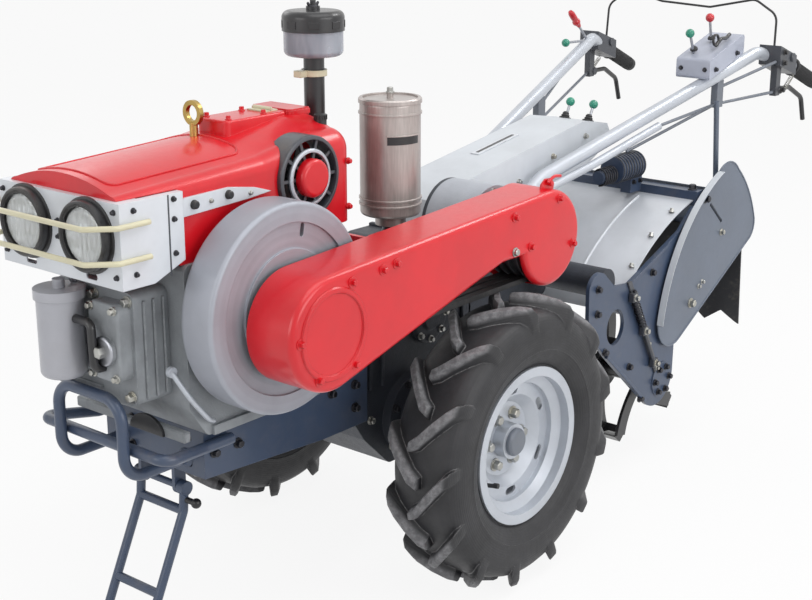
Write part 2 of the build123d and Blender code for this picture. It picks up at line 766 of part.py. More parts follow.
with BuildPart() as fan:
    disc(fan_x, hood_half - 48, hood_half - 30, fan_z, 20)
    disc(fan_x, hood_half - 48, hood_half - 8, fan_z, fan_shaft_r)
    with BuildSketch(side(hood_half - 36)) as blades:
        with Locations((fan_x, fan_z)):
            with PolarLocations(36, 6):
                Trapezoid(34, 40, 80, rotation=90)
    extrude(blades.sketch, amount=3)
save(fan, "cooling_fan")

# ---- air pipe and pre-cleaner --------------------------------------------------------------
with BuildPart() as air_pipe:
    rod(((air_x, 0, bowl_bottom), (air_x, 0, 752), (engine_rear, 0, 752)), air_r, bend=56)
    post(air_x, 0, 1066, 1077, air_r + 4)
    block(air_x + air_r, air_x + air_r + 22, -14, 4, 1066, 1077)
save(air_pipe, "air_pipe")

with BuildPart() as bowl:
    post(air_x, 0, bowl_bottom, cap_bottom, bowl_r)
    fillet(bowl.faces().sort_by(Axis.Z)[0].edges(), 12)
    post(air_x, 0, bowl_bottom + 4, cap_bottom, bowl_r - 4, mode=Mode.SUBTRACT)
    post(air_x, 0, bowl_bottom + 3, cap_bottom, 10)
save(bowl, "precleaner_bowl")

with BuildPart() as cap:
    post(air_x, 0, cap_bottom, cap_top, bowl_r + 3)
    fillet(cap.faces().sort_by(Axis.Z)[-1].edges(), 14)
    post(air_x, 0, cap_top - 1, overall_height, 6)
    post(air_x, 0, cap_top - 1, cap_top + 8, 14)
save(cap, "precleaner_cap")

# ---- silencer ------------------------------------------------------------------------------
with BuildPart() as silencer:
    post(silencer_x, silencer_y, silencer_bottom, silencer_top, silencer_r)
    fillet(silencer.faces().sort_by(Axis.Z)[-1].edges(), 12)
    fillet(silencer.faces().sort_by(Axis.Z)[0].edges(), 8)
    for z in (silencer_top - 30, silencer_bottom + 34, silencer_bottom + 22):
        post(silencer_x, silencer_y, z, z + 4, silencer_r + 2.5)
    post(silencer_x, silencer_y, silencer_bottom - 22, silencer_bottom + 1, 32)
    post(silencer_x, silencer_y, silencer_top - 1, silencer_top + 12, 7)
save(silencer, "silencer")

exhaust_z = 716
with BuildPart() as exhaust:
    rod(((engine_rear, silencer_y, exhaust_z), (silencer_x, silencer_y, exhaust_z),
         (silencer_x, silencer_y, silencer_bottom - 22)), 17, bend=34)
save(exhaust, "exhaust_pipe")

# ---- gear console and levers ---------------------------------------------------------------
with BuildPart() as console:
    outline = ((-100, box_top), (-122, 762), (-200, 792), (-690, 868), (-800, 850), (-826, 806),
               (-700, 752), (-330, box_top))
    slab(outline, -console_half, console_half)
    fillet(console.edges().filter_by(Axis.Y).group_by(Axis.Z)[-1], 12)
    with BuildSketch(side(console_half - console_t)):
        with BuildLine():
            Polyline(*outline, close=True)
        make_face()
        offset(amount=-console_t)
    extrude(amount=2 * (console_half - console_t), mode=Mode.SUBTRACT)
    block(-322, -112, -console_half + 8, console_half - 8, box_top - 1, box_top + 6,
          mode=Mode.SUBTRACT)
    for s in (1, -1):
        post(gear_x[0], s * gear_half, gear_foot_z - gear_pad, gear_foot_z + 6, 9)
        rod(((gear_x[0], s * gear_half, gear_foot_z), (gear_x[1], s * gear_half, gear_z)),
            stalk_r + seat_fit, mode=Mode.SUBTRACT)
save(console, "gear_console")

# ---- handlebars ----------------------------------------------------------------------------
grip_way = (Vector(*handle_end) - Vector(*handle_wrist)).normalized()


def mirrored(point, s):
    """The same place on the left (s = 1) or the right (s = -1)."""
    return (point[0], s * point[1], point[2])


def along_grip(distance, s):
    """Place on the grip's line, this far before its end."""
    corner = grip_r * hypot(grip_way.Y, grip_way.Z) / abs(grip_way.X)
    place = Vector(*handle_end) - grip_way * (distance + corner)
    return (place.X, s * place.Y, place.Z)


def handle_place(x):
    """y and z of the left handlebar's middle line at x, between its knee and its bend."""
    t = (x - handle_knee[0]) / (handle_bend[0] - handle_knee[0])
    return (handle_knee[1] + t * (handle_bend[1] - handle_knee[1]),
            handle_knee[2] + t * (handle_bend[2] - handle_knee[2]))


def wrist_z(x):
    """Height of a handlebar's middle line at x, between its bend and its wrist."""
    t = (x - handle_bend[0]) / (handle_wrist[0] - handle_bend[0])
    return handle_bend[2] + t * (handle_wrist[2] - handle_bend[2])


def handle_tube(s, radius, mode=Mode.ADD):
    """Handlebar's main tube on one side, or the bore that it fills."""
    rod((mirrored(handle_root, s), mirrored(handle_knee, s), mirrored(handle_bend, s),
         mirrored(handle_wrist, s), along_grip(grip_wall, s)), radius, bend=60, mode=mode)


for name, s in sides:
    with BuildPart() as bar:
        handle_tube(s, handle_r)
        x, y, z = handle_root
        block(x - 46, x + 10, s * box_half, s * (box_half + handle_mount_t), z - 26, z + 26)
        rod([mirrored(place, s) for place in brace], brace_r, bend=60)
    save(bar, f"handlebar_{name}")

with BuildPart() as grips:
    for s in (1, -1):
        rod((along_grip(grip_length, s), along_grip(0, s)), grip_r)
        rod((along_grip(grip_length + 1, s), along_grip(grip_wall, s)), handle_r + grip_fit,
            mode=Mode.SUBTRACT)
save(grips, "grips")

# Castings that clamp behind the bends and carry the steering clutch levers on an arm below.
with BuildPart() as brackets:
    for s in (1, -1):
        front, back = [(x, wrist_z(x)) for x in bracket_x]
        slab(((front[0], front[1] + bracket_up), (front[0], front[1] - bracket_up),
              (back[0], back[1] - bracket_up), (back[0], back[1] + bracket_up)),
             *sorted(s * y for y in bracket_y))
        block(*lever_arm_x, *sorted(s * y for y in lever_arm_y), lever_arm_z, front[1] - 10)
    for s in (1, -1):
        handle_tube(s, handle_r + grip_fit, mode=Mode.SUBTRACT)
save(brackets, "lever_brackets")

with BuildPart() as clutch_levers:
    for s in (1, -1):
        y = s * sum(lever_arm_y) / 2
        z = lever_arm_z + 14
        rod(((lever_arm_x[0], y, z), (lever_arm_x[0] - 70, y, z), (-1445, s * 298, z - 36),
             (-1467, s * 298, z - 100)), lever_r, bend=30)
save(clutch_levers, "steering_clutch_levers")

# Relay below each handlebar: a hanging block, two rods back to the lever bracket and one or two
# rods forward.
drum_seat = (drum_x[0] + 44, drum_y, drum_z + drum_r + link_r + seat_fit)
with BuildPart() as relays:
    for s, x in zip((1, -1), relay_x):
        y, z = handle_place(x)
        y = s * y
        top = z - handle_r - 4
        low = top - relay_drop + 8
        block(x - 16, x + 16, y - 9, y + 9, top - relay_drop, top + 8)
        handle_tube(s, handle_r + relay_fit, mode=Mode.SUBTRACT)
        rod(((x - 10, y, low),
             (lever_arm_x[1] + link_end, s * sum(lever_arm_y) / 2, lever_arm_z + 10)), link_r)
        rod(((x - 10, y, top - 12),
             (bracket_x[0] + link_end, s * (bracket_y[1] - 12), wrist_z(bracket_x[0]) - 16)), link_r)
        if s > 0:
            rod(((x + 10, y, low), (brace[-1][0] - link_end, brace[-1][1], brace[-1][2])), link_r)
            rod(((x + 10, y, low), drum_seat), link_r)
save(relays, "relay_rods")

# Control panel on top of the left handlebar, tilted with it.
handle_slope = atan2(handle_bend[2] - handle_knee[2], handle_knee[0] - handle_bend[0])
rest = [handle_place(x)[1] + (handle_r + grip_fit) / cos(handle_slope) for x in panel_x]


def panel_top(x):
    """Height of the panel's top at x."""
    t = (x - panel_x[0]) / (panel_x[1] - panel_x[0])
    return rest[0] + panel_h + t * (rest[1] - rest[0])


stalks = (  # x, y and z where a control rod stands, then the same for its knob
    ("green", (-1050, 178, panel_top(-1050) - stalk_sink), (-1022, 178, 1062)),
    ("red", (-1120, 188, panel_top(-1120) - stalk_sink), (-1104, 188, 1096)),
    ("red", (-1206, -250, 1000), (-1150, -252, 1054)),
    ("green", (-1196, -248, 999), (-1100, -252, 1000)),
)

with BuildPart() as panel:
    slab(((panel_x[0], rest[0]), (panel_x[0], rest[0] + panel_h), (panel_x[1], rest[1] + panel_h),
          (panel_x[1], rest[1])), *panel_y)
    fillet(panel.edges().filter_by(Axis.Y), 8)
    for colour, foot, tip in stalks[:2]:
        rod((foot, tip), stalk_r + seat_fit, mode=Mode.SUBTRACT)
save(panel, "control_panel")


# ---- control rods, knobs and cable ---------------------------------------------------------
def ball(centre, radius, foot, rod_radius):
    """Ball knob, bored half through for the rod that comes from foot."""
    way = (Vector(*foot) - Vector(*centre)).normalized()
    middle = Plane(origin=Vector(axle_x, 0, 0) + Vector(*centre), z_dir=way)
    rim_at = sqrt(radius**2 - rod_radius**2)
    with BuildSketch(Plane(origin=middle.origin, x_dir=middle.x_dir, z_dir=middle.y_dir)) as half:
        with BuildLine():
            Line((0, radius), (0, 0))
            Line((0, 0), (rod_radius, 0))
            Line((rod_radius, 0), (rod_radius, -rim_at))
            ThreePointArc((rod_radius, -rim_at), (radius, 0), (0, radius))
        make_face()
    revolve(half.sketch, axis=Axis(middle.origin, way))


gear_stalks = [("green", (gear_x[0], s * gear_half, gear_foot_z),
                (gear_x[1], s * gear_half, gear_z)) for s in (1, -1)]
all_stalks = list(stalks) + gear_stalks

with BuildPart() as control_rods:
    for colour, foot, tip in all_stalks:
        rod((foot, tip), stalk_r)
    handle_tube(-1, handle_r, mode=Mode.SUBTRACT)
save(control_rods, "control_rods")

for colour in ("green", "red"):
    with BuildPart() as knobs:
        for knob_colour, foot, tip in all_stalks:
            if knob_colour == colour:
                ball(tip, knob_r, foot, stalk_r)
    save(knobs, f"{colour}_knobs")

# Control cable from hand to hand, clipped into both brackets.
with BuildPart() as cable:
    end = (-1330, 264, wrist_z(-1330) + bracket_up + 1)
    rod((end, (-1336, 262, 1090), (-1338, 196, 1128), (-1340, 60, 1100), (-1338, -90, 1108),
         (-1334, -196, 1134), (-1336, -262, 1090), mirrored(end, -1)), cable_r, bend=34)
save(cable, "control_cable")

# ---- rotary --------------------------------------------------------------------------------
with BuildPart() as rotary_case:
    block(-560, box_rear, -70, 70, 455, 600)
    fillet(rotary_case.edges().filter_by(Axis.Y), 18)
    disc(cross_x, -rotary_half + chain_case_t, rotary_half - arm_t, cross_z, cross_r)
save(rotary_case, "rotary_gearcase")

bar_front = bar_x + bar_side / 2
bar_low = bar_z - bar_side / 2
case_in = -rotary_half + chain_case_t
with BuildPart() as arm:
    with BuildSketch(side(rotary_half)) as plate:
        with BuildLine():
            Line((-412, 430), (-410, 524))
            ThreePointArc((-410, 524), (-438, 566), (-484, 552))
            Polyline((-484, 552), (-520, 522), (-584, 514), (-818, 600), (-880, bar_low),
                     (-928, bar_low), (-868, 560), (-820, 420), (-816, 240))
            ThreePointArc((-816, 240), (-770, 168), (-690, 178))
            Polyline((-690, 178), (-498, 346), (-412, 430))
        make_face()
        with Locations((-530, 418)):
            Ellipse(38, 44, mode=Mode.SUBTRACT)
    extrude(plate.sketch, amount=arm_t)
    disc(rotor_x, rotary_half - arm_t - 14, rotary_half + 3, rotor_z, 46)
    disc(rotor_x, rotary_half - arm_t - 15, rotary_half - 4, rotor_z, rotor_shaft_r + run_fit,
         mode=Mode.SUBTRACT)
save(arm, "rotary_arm")

with BuildPart() as chain_case:
    with BuildSketch(side(case_in)) as hull:
        with Locations((cross_x, cross_z)):
            Circle(56)
        with Locations((rotor_x, rotor_z)):
            Circle(68)
        make_hull()
    extrude(hull.sketch, amount=chain_case_t)
    fillet(chain_case.faces().sort_by(Axis.Y)[0].edges(), 8)
    slab(((-585, 520), (-818, 600), (-880, bar_low), (-928, bar_low), (-868, 560), (-812, 420),
          (-790, 300), (-600, 420)), -rotary_half, -rotary_half + arm_t)
    disc(rotor_x, case_in - 24, case_in + 1, rotor_z, rotor_shaft_r + run_fit, mode=Mode.SUBTRACT)
save(chain_case, "rotary_chain_case")


def turned(reach, rise, turn):
    """Place at a radius and a height off it, turned in degrees about the axis of the rotor."""
    a = radians(turn)
    return (rotor_x + reach * cos(a) - rise * sin(a), rotor_z + reach * sin(a) + rise * cos(a))


tine_rows = 5
tine_wide = 44              # sideways reach of a tine's bent tip
row_right = case_in + 40
row_pitch = (rotary_half - arm_t - 40 - row_right) / (tine_rows - 1)
with BuildPart() as rotor:
    disc(rotor_x, case_in - 22, rotary_half - 6, rotor_z, rotor_shaft_r)
    for i in range(tine_rows):
        y = row_right + row_pitch * i
        disc(rotor_x, y - 5, y + 5, rotor_z, 58)
        for k in range(4):
            turn = 90 * k + 36 * i
            bent = 1 if k % 2 == 0 else -1
            if i == 0:
                bent = 1
            if i == tine_rows - 1:
                bent = -1
            root, back = turned(40, 18, turn), turned(40, -16, turn)
            tip, heel = turned(tine_r - 10, -34, turn), turned(tine_r - 36, -62, turn)
            with BuildSketch(side(y + 4)) as blade:
                with BuildLine():
                    ThreePointArc(root, turned(110, 4, turn), tip)
                    Line(tip, heel)
                    ThreePointArc(heel, turned(95, -28, turn), back)
                    Line(back, root)
                make_face()
            extrude(blade.sketch, amount=8)
            slab((tip, turned(tine_r - 4, -30, turn), turned(tine_r - 14, -64, turn), heel),
                 *sorted((y, y + bent * tine_wide)))
save(rotor, "tiller_rotor")

with BuildPart() as rotary_hood:
    with BuildSketch(side(rotary_half - arm_t)) as sheet:
        with BuildLine():
            Line((-566, 440), (-580, 484))
            ThreePointArc((-580, 484), (-712, 592), (bar_front, bar_z - 4))
            Line((bar_front, bar_z - 4), (bar_front, bar_z - 4 - hood_sheet_t))
            ThreePointArc((bar_front, bar_z - 4 - hood_sheet_t), (-714, 589), (-583, 484))
            Line((-583, 484), (-569, 440))
            Line((-569, 440), (-566, 440))
        make_face()
    extrude(sheet.sketch, amount=rotary_half - arm_t - case_in)
save(rotary_hood, "rotary_hood")

# Square bar with the rear cover's hinge pins, and a spring housing on a bracket.
with BuildPart() as bar:
    half = bar_side / 2
    block(bar_x - half, bar_front, -rotary_half, rotary_half, bar_low, bar_z + half)
    disc(bar_x, -rotary_half - 14, rotary_half + 14, bar_z, hinge_pin_r)
    block(drum_x[0] - 14, drum_x[0] + 40, drum_y - 15, drum_y + 15, bar_z, drum_z)
    with BuildSketch(across(drum_x[0])) as drum:
        with Locations((drum_y, drum_z)):
            Circle(drum_r)
    extrude(drum.sketch, amount=drum_x[1] - drum_x[0])
    with BuildSketch(across(drum_x[1] - 1)) as nose:
        with Locations((drum_y, drum_z - 10)):
            Circle(drum_r / 2)
    extrude(nose.sketch, amount=66)
save(bar, "cover_bar")

# Rear cover: two leaf-shaped side plates joined by a rolled sheet, hung from the bar.
sheet_top = (-936, 692)
sheet_drop = (-1166, 545)
sheet_end = 500
with BuildPart() as cover:
    for s in (1, -1):
        inner = s * cover_half
        outer = s * (cover_half + cover_t)
        with BuildSketch(side(max(inner, outer))) as plate:
            with BuildLine():
                ThreePointArc((-715, 379), (-808, 592), (-990, 725))
                ThreePointArc((-990, 725), (-1046, 742), (-1092, 716))
                ThreePointArc((-1092, 716), (-1152, 656), (-1196, 578))
                ThreePointArc((-1196, 578), (-1198, 534), (-1169, 508))
                Line((-1169, 508), (-826, 322))
                ThreePointArc((-826, 322), (-752, 320), (-715, 379))
            make_face()
            with Locations((bar_x, bar_z)):
                Circle(hinge_pin_r + run_fit, mode=Mode.SUBTRACT)
            with Locations(Location((-983, 618, 0), (0, 0, 41))):
                SlotOverall(92, 9, mode=Mode.SUBTRACT)
        extrude(plate.sketch, amount=cover_t)
        flange_edge = s * (cover_half + cover_t + 14)
        with BuildSketch(side(max(inner, flange_edge))) as flange:
            with BuildLine():
                ThreePointArc((-715, 379), (-808, 592), (-990, 725))
                Line((-990, 725), (-992, 721.5))
                ThreePointArc((-992, 721.5), (-811, 589.5), (-719, 379))
                Line((-719, 379), (-715, 379))
            make_face()
        extrude(flange.sketch, amount=14 + cover_t)
    with BuildSketch(side(cover_half)) as sheet:
        with BuildLine():
            RadiusArc(sheet_top, sheet_drop, -700)
            Line(sheet_drop, (sheet_drop[0], sheet_end))
            Line((sheet_drop[0], sheet_end), (sheet_drop[0] + cover_t, sheet_end))
            Line((sheet_drop[0] + cover_t, sheet_end), (sheet_drop[0] + cover_t, sheet_drop[1] - 2))
            RadiusArc((sheet_drop[0] + cover_t, sheet_drop[1] - 2),
                      (sheet_top[0], sheet_top[1] - cover_t), 700)
            Line((sheet_top[0], sheet_top[1] - cover_t), sheet_top)
        make_face()
    extrude(sheet.sketch, amount=2 * cover_half)
    rod(((-1076, hanger_y, 609), (-1048, hanger_y, 892)), hanger_r)
save(cover, "rear_cover")

flap_x = sheet_drop[0] + cover_t + seat_fit
flap_half = cover_half - 8
with BuildPart() as flap:
    with BuildSketch(side(flap_half)) as sheet:
        with BuildLine():
            Polyline((flap_x, sheet_end + 32), (flap_x, sheet_end), (flap_x - 8, 276),
                     (flap_x - 3, 276), (flap_x + 5, sheet_end), (flap_x + 5, sheet_end + 32),
                     close=True)
        make_face()
    extrude(sheet.sketch, amount=2 * flap_half)
save(flap, "rear_flap")
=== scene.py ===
from math import atan2, cos, hypot, pi, radians, sin, tau

import bmesh
import bpy
from mathutils import Matrix, Vector
from mathutils.bvhtree import BVHTree


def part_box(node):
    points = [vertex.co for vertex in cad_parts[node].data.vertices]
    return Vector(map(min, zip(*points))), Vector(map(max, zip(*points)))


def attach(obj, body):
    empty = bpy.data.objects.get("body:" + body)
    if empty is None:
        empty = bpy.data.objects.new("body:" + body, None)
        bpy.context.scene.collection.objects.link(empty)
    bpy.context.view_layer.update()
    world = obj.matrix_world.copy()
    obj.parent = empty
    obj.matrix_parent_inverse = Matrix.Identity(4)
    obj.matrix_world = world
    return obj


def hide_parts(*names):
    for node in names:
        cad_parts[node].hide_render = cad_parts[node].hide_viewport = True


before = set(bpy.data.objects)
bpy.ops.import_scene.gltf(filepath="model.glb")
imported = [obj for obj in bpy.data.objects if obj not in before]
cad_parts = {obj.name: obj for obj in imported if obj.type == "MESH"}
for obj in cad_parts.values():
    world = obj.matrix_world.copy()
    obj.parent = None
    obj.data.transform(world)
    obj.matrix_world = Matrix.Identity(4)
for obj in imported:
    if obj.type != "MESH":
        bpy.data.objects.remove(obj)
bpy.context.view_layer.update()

axle = (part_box("tyre_left")[0].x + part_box("tyre_left")[1].x) / 2

# Axes of the turning and round pieces, and faces that bolts sit on, in millimetres: forward of
# the axle, left of the middle and up from the ground.
tyre_r = 315
lamp_y, lamp_z = 84, 871
crank_x, crank_z = 520, 700
clutch_x, clutch_z = -138, 724
fan_x, fan_z = 367, 906
rotor_x, rotor_z = -760, 225
hinge_x, hinge_z = -912, 668
air_pipe_x = 185
silencer_x, silencer_y = 67, 100
box_face = 95.3
hood_face = 150.3
arm_face = 293.2
cover_face = 303.2
guard_face = 370.2


# ---- node trees ----------------------------------------------------------------------------
class Value:
    """An output socket; arithmetic on it adds Math nodes."""

    def __init__(self, net, socket):
        self.net = net
        self.socket = socket

    def maths(self, operation, *others):
        return self.net.node("ShaderNodeMath", {"operation": operation},
                             dict(enumerate((self, *others))))

    def __add__(self, other): return self.maths("ADD", other)
    def __radd__(self, other): return self.maths("ADD", other)
    def __mul__(self, other): return self.maths("MULTIPLY", other)
    def __rmul__(self, other): return self.maths("MULTIPLY", other)
    def __sub__(self, other): return self.maths("SUBTRACT", other)

    def __rsub__(self, other):
        return self.net.node("ShaderNodeMath", {"operation": "SUBTRACT"}, {0: other, 1: self})

    def rise(self, low, high):
        """0 below low, 1 above high, smooth between."""
        return self.net.node("ShaderNodeMapRange", {"interpolation_type": "SMOOTHSTEP"},
                             {"Value": self, "From Min": low, "From Max": high})

    def held(self):
        """Kept between 0 and 1."""
        return self.net.node("ShaderNodeMath", {"operation": "ADD", "use_clamp": True},
                             {0: self, 1: 0.0})


class Net:
    """A node tree under construction."""

    def __init__(self, tree):
        self.tree = tree

    def node(self, kind, settings=None, inputs=None, output=0):
        """Add a node: its settings first, then the values or links of its sockets."""
        node = self.tree.nodes.new(kind)
        for name, value in (settings or {}).items():
            setattr(node, name, value)
        for name, value in (inputs or {}).items():
            if isinstance(value, Value):
                self.tree.links.new(value.socket, node.inputs[name])
            else:
                node.inputs[name].default_value = value
        return Value(self, node.outputs[output])


def rgb(red, green, blue):
    """Colour from 0-255 screen values."""
    return tuple((c / 255 / 12.92) if c <= 10 else ((c / 255 + 0.055) / 1.055) ** 2.4
                 for c in (red, green, blue)) + (1.0,)


class Finish(Net):
    """A material on the Principled surface, patterned on the piece's own coordinates."""

    def __init__(self, name, **fixed):
        self.material = bpy.data.materials.new(name)
        self.material.use_nodes = True
        super().__init__(self.material.node_tree)
        self.tree.nodes.clear()
        self.surface = self.tree.nodes.new("ShaderNodeBsdfPrincipled")
        result = self.tree.nodes.new("ShaderNodeOutputMaterial")
        self.tree.links.new(self.surface.outputs[0], result.inputs[0])
        for key, value in fixed.items():
            self.surface.inputs[key.replace("_", " ")].default_value = value
        self.where = self.node("ShaderNodeTexCoord", output="Object")

    def gives(self, **varying):
        """Link what changes over the surface."""
        for key, value in varying.items():
            self.tree.links.new(value.socket, self.surface.inputs[key.replace("_", " ")])

    def noise(self, scale, detail=3.0, rough=0.55, stretch=(1, 1, 1), shift=0.0):
        place = self.node("ShaderNodeMapping", None,
                          {"Vector": self.where, "Location": (shift, shift, shift),
                           "Scale": stretch})
        return self.node("ShaderNodeTexNoise", None,
                         {"Vector": place, "Scale": scale, "Detail": detail, "Roughness": rough})

    def blend(self, factor, first, second):
        return self.node("ShaderNodeMix", {"data_type": "RGBA"},
                         {0: factor, 6: first, 7: second}, output=2)

    def edges(self, radius):
        """Normal with its edges rounded, and how strongly each place is an edge."""
        soft = self.node("ShaderNodeBevel", {"samples": 4}, {"Radius": radius})
        true = self.node("ShaderNodeNewGeometry", output="Normal")
        alike = self.node("ShaderNodeVectorMath", {"operation": "DOT_PRODUCT"},
                          {0: soft, 1: true}, output="Value")
        return soft, (1 - alike).rise(0.03, 0.22)

    def up(self):
        """1 where the surface looks up, -1 where it looks down."""
        turned = self.node("ShaderNodeTexCoord", output="Normal")
        return self.node("ShaderNodeSeparateXYZ", None, {0: turned}, output=2)

    def bumped(self, height, depth, normal):
        return self.node("ShaderNodeBump", None,
                         {"Height": height, "Distance": depth, "Strength": 1.0,
                          "Normal": normal})

    def about(self, x, z):
        """Distance from an axis across the machine, in metres."""
        place = self.node("ShaderNodeMapping", None,
                          {"Vector": self.where, "Location": (-(axle + x / 1000), 0, -z / 1000),
                           "Scale": (1, 0, 1)})
        return self.node("ShaderNodeVectorMath", {"operation": "LENGTH"}, {0: place},
                         output="Value")


def shade(colour, by):
    return tuple(min(1.0, c * by) for c in colour[:3]) + (1.0,)


def enamel(name, colour, gloss=0.3, bare=(150, 150, 152), chips=0.5, dirt=0.25,
           metal=0.0, coat=0.25, grain=0.00008, edge=0.0022):
    """Sprayed paint: slight cloudiness, orange peel, rubbed edges and a little dust."""
    finish = Finish(name, Metallic=metal, Coat_Weight=coat, Coat_Roughness=0.12)
    cloud = finish.noise(7, 4, 0.6)
    fine = finish.noise(90, 3, 0.6, shift=3.1)
    soft, edge_mask = finish.edges(edge)
    base = finish.blend(cloud.rise(0.3, 0.7), shade(colour, 0.93), shade(colour, 1.05))
    dust = ((finish.up().rise(0.1, 0.9) * 0.5 + 0.3) * finish.noise(16, 5, 0.7, shift=9.0)
            .rise(0.45, 0.8) * dirt).held()
    base = finish.blend(dust, base, rgb(146, 132, 112))
    rubbed = (edge_mask * fine.rise(0.52, 0.66) * chips).held()
    base = finish.blend(rubbed, base, rgb(*bare))
    rough = (gloss + 0.14 * (fine - 0.5) + 0.1 * (cloud - 0.5) + 0.3 * dust).held()
    peel = finish.noise(620, 2, 0.5, shift=1.7)
    finish.gives(Base_Color=base, Roughness=rough, Normal=finish.bumped(peel, grain, soft))
    return finish.material


def casting(name, colour, gloss=0.55, metal=0.25, grain=0.0007, oil=0.5, edge=0.003,
            painted=None):
    """Painted or bare casting: sandy skin, worn edges and oil stains."""
    finish = Finish(name, Metallic=metal)
    cloud = finish.noise(9, 4, 0.65)
    fine = finish.noise(60, 3, 0.6, shift=5.0)
    soft, edge_mask = finish.edges(edge)
    base = finish.blend(cloud.rise(0.28, 0.72), shade(colour, 0.8), shade(colour, 1.12))
    stain = (finish.noise(14, 4, 0.6, stretch=(1, 1, 0.35), shift=7.0).rise(0.55, 0.75)
             * oil).held()
    base = finish.blend(stain, base, shade(colour, 0.45))
    base = finish.blend((edge_mask * fine.rise(0.4, 0.6) * 0.45).held(), base,
                        shade(colour, 1.7))
    if painted:
        base = painted(finish, cloud, base)
    skin = finish.noise(260, 3, 0.65, shift=2.0)
    rough = (gloss + 0.25 * (fine - 0.5) - 0.2 * stain).held()
    finish.gives(Base_Color=base, Roughness=rough, Normal=finish.bumped(skin, grain, soft))
    return finish.material


def pale_clutch_housing(finish, cloud, base):
    """Paint on the gearbox's clutch housing, left of the gearbox and round the clutch's axis."""
    pale = rgb(176, 180, 188)
    left = finish.node("ShaderNodeSeparateXYZ", None, {0: finish.where}, output="Y")
    housing = 1 - finish.about(clutch_x, clutch_z).rise(0.0935, 0.0945)
    painted = finish.blend(cloud.rise(0.28, 0.72), shade(pale, 0.9), shade(pale, 1.06))
    return finish.blend((housing * left.rise(0.098, 0.1)).held(), base, painted)


def turned_steel(name, colour, x, z, rough=0.36, metal=0.75):
    """Steel turned on a lathe about an axis across the machine."""
    finish = Finish(name, Metallic=metal)
    ring = finish.about(x, z)
    lines = finish.node("ShaderNodeTexNoise", {"noise_dimensions": "1D"},
                        {"W": ring, "Scale": 900.0, "Detail": 3.0})
    bands = finish.node("ShaderNodeTexNoise", {"noise_dimensions": "1D"},
                        {"W": ring, "Scale": 60.0, "Detail": 2.0})
    cloud = finish.noise(8, 4, 0.6)
    soft, edge_mask = finish.edges(0.0025)
    base = finish.blend((0.6 * cloud + 0.4 * bands).rise(0.3, 0.7), shade(colour, 0.86),
                        shade(colour, 1.08))
    # Edges painted lighter as a highlight.
    base = finish.blend((edge_mask * 0.5).held(), base, shade(colour, 1.25))
    gives_rough = (rough + 0.2 * (lines - 0.5) + 0.16 * (cloud - 0.5)).held()
    finish.gives(Base_Color=base, Roughness=gives_rough,
                 Normal=finish.bumped(lines, 0.00006, soft))
    return finish.material


def bright_metal(name, colour, rough=0.14, streak=(9, 9, 0.7), tint=None, edge=0.0015,
                 metal=1.0):
    """Plated or polished metal with faint drawn streaks."""
    finish = Finish(name, Metallic=metal)
    cloud = finish.noise(10, 4, 0.6)
    drawn = finish.noise(30, 3, 0.6, stretch=streak, shift=4.0)
    soft, edge_mask = finish.edges(edge)
    base = finish.blend(drawn.rise(0.3, 0.7), shade(colour, 0.84), colour)
    if tint:
        base = finish.blend((cloud.rise(0.45, 0.75) * 0.5).held(), base, rgb(*tint))
    # Edges painted lighter as a highlight.
    base = finish.blend((edge_mask * 0.3).held(), base, shade(colour, 1.2))
    finish.gives(Base_Color=base, Roughness=(rough + 0.14 * (cloud - 0.45)
                                             + 0.1 * (drawn - 0.5)).held(),
                 Normal=finish.bumped(drawn, 0.00004, soft))
    return finish.material


def moulded(name, colour, gloss=0.42, grain=0.0001, scale=500, dusty=0.15, edge=0.0012,
            coat=0.0):
    """Moulded rubber or plastic with a fine pebbled skin."""
    finish = Finish(name, Coat_Weight=coat, Coat_Roughness=0.1)
    cloud = finish.noise(18, 4, 0.6)
    soft, edge_mask = finish.edges(edge)
    base = finish.blend(cloud.rise(0.3, 0.7), shade(colour, 0.88), shade(colour, 1.1))
    worn = (edge_mask * finish.noise(70, 3, 0.6).rise(0.4, 0.65) * 0.3).held()
    base = finish.blend(worn, base, shade(colour, 1.8))
    base = finish.blend((finish.noise(40, 4, 0.7, shift=6.0).rise(0.5, 0.8) * dusty).held(),
                        base, rgb(128, 122, 112))
    skin = finish.noise(scale, 2, 0.5, shift=2.0)
    finish.gives(Base_Color=base, Roughness=(gloss + 0.2 * (cloud - 0.5)).held(),
                 Normal=finish.bumped(skin, grain, soft))
    return finish.material


def tyre_rubber(name):
    """Tread rubber, duller on the lug tops, which are painted lighter as a highlight."""
    finish = Finish(name)
    cloud = finish.noise(11, 5, 0.65)
    fine = finish.noise(70, 4, 0.65, shift=2.0)
    soft, edge_mask = finish.edges(0.004)
    reach = finish.about(0, tyre_r)
    base = finish.blend(cloud.rise(0.3, 0.7), rgb(27, 27, 30), rgb(42, 42, 45))
    tread = reach.rise(0.294, 0.308)
    # Lug tops painted lighter grey as a highlight.
    base = finish.blend((tread * (0.45 + 0.55 * fine.rise(0.35, 0.7)) * 0.9).held(), base,
                        rgb(140, 140, 143))
    base = finish.blend((edge_mask * fine.rise(0.35, 0.6) * 0.55).held(), base,
                        rgb(138, 137, 138))
    rings = finish.node("ShaderNodeTexWave", {"wave_type": "RINGS", "rings_direction": "Y"},
                        {"Vector": finish.node("ShaderNodeMapping", None, {
                            "Vector": finish.where, "Location": (-axle, 0, -tyre_r / 1000)}),
                         "Scale": 60.0, "Distortion": 0.3})
    height = fine * 0.7 + rings * 0.3 * (1 - tread)
    finish.gives(Base_Color=base, Roughness=(0.52 + 0.25 * (fine - 0.5) + 0.15 * tread).held(),
                 Normal=finish.bumped(height, 0.0006, soft))
    return finish.material


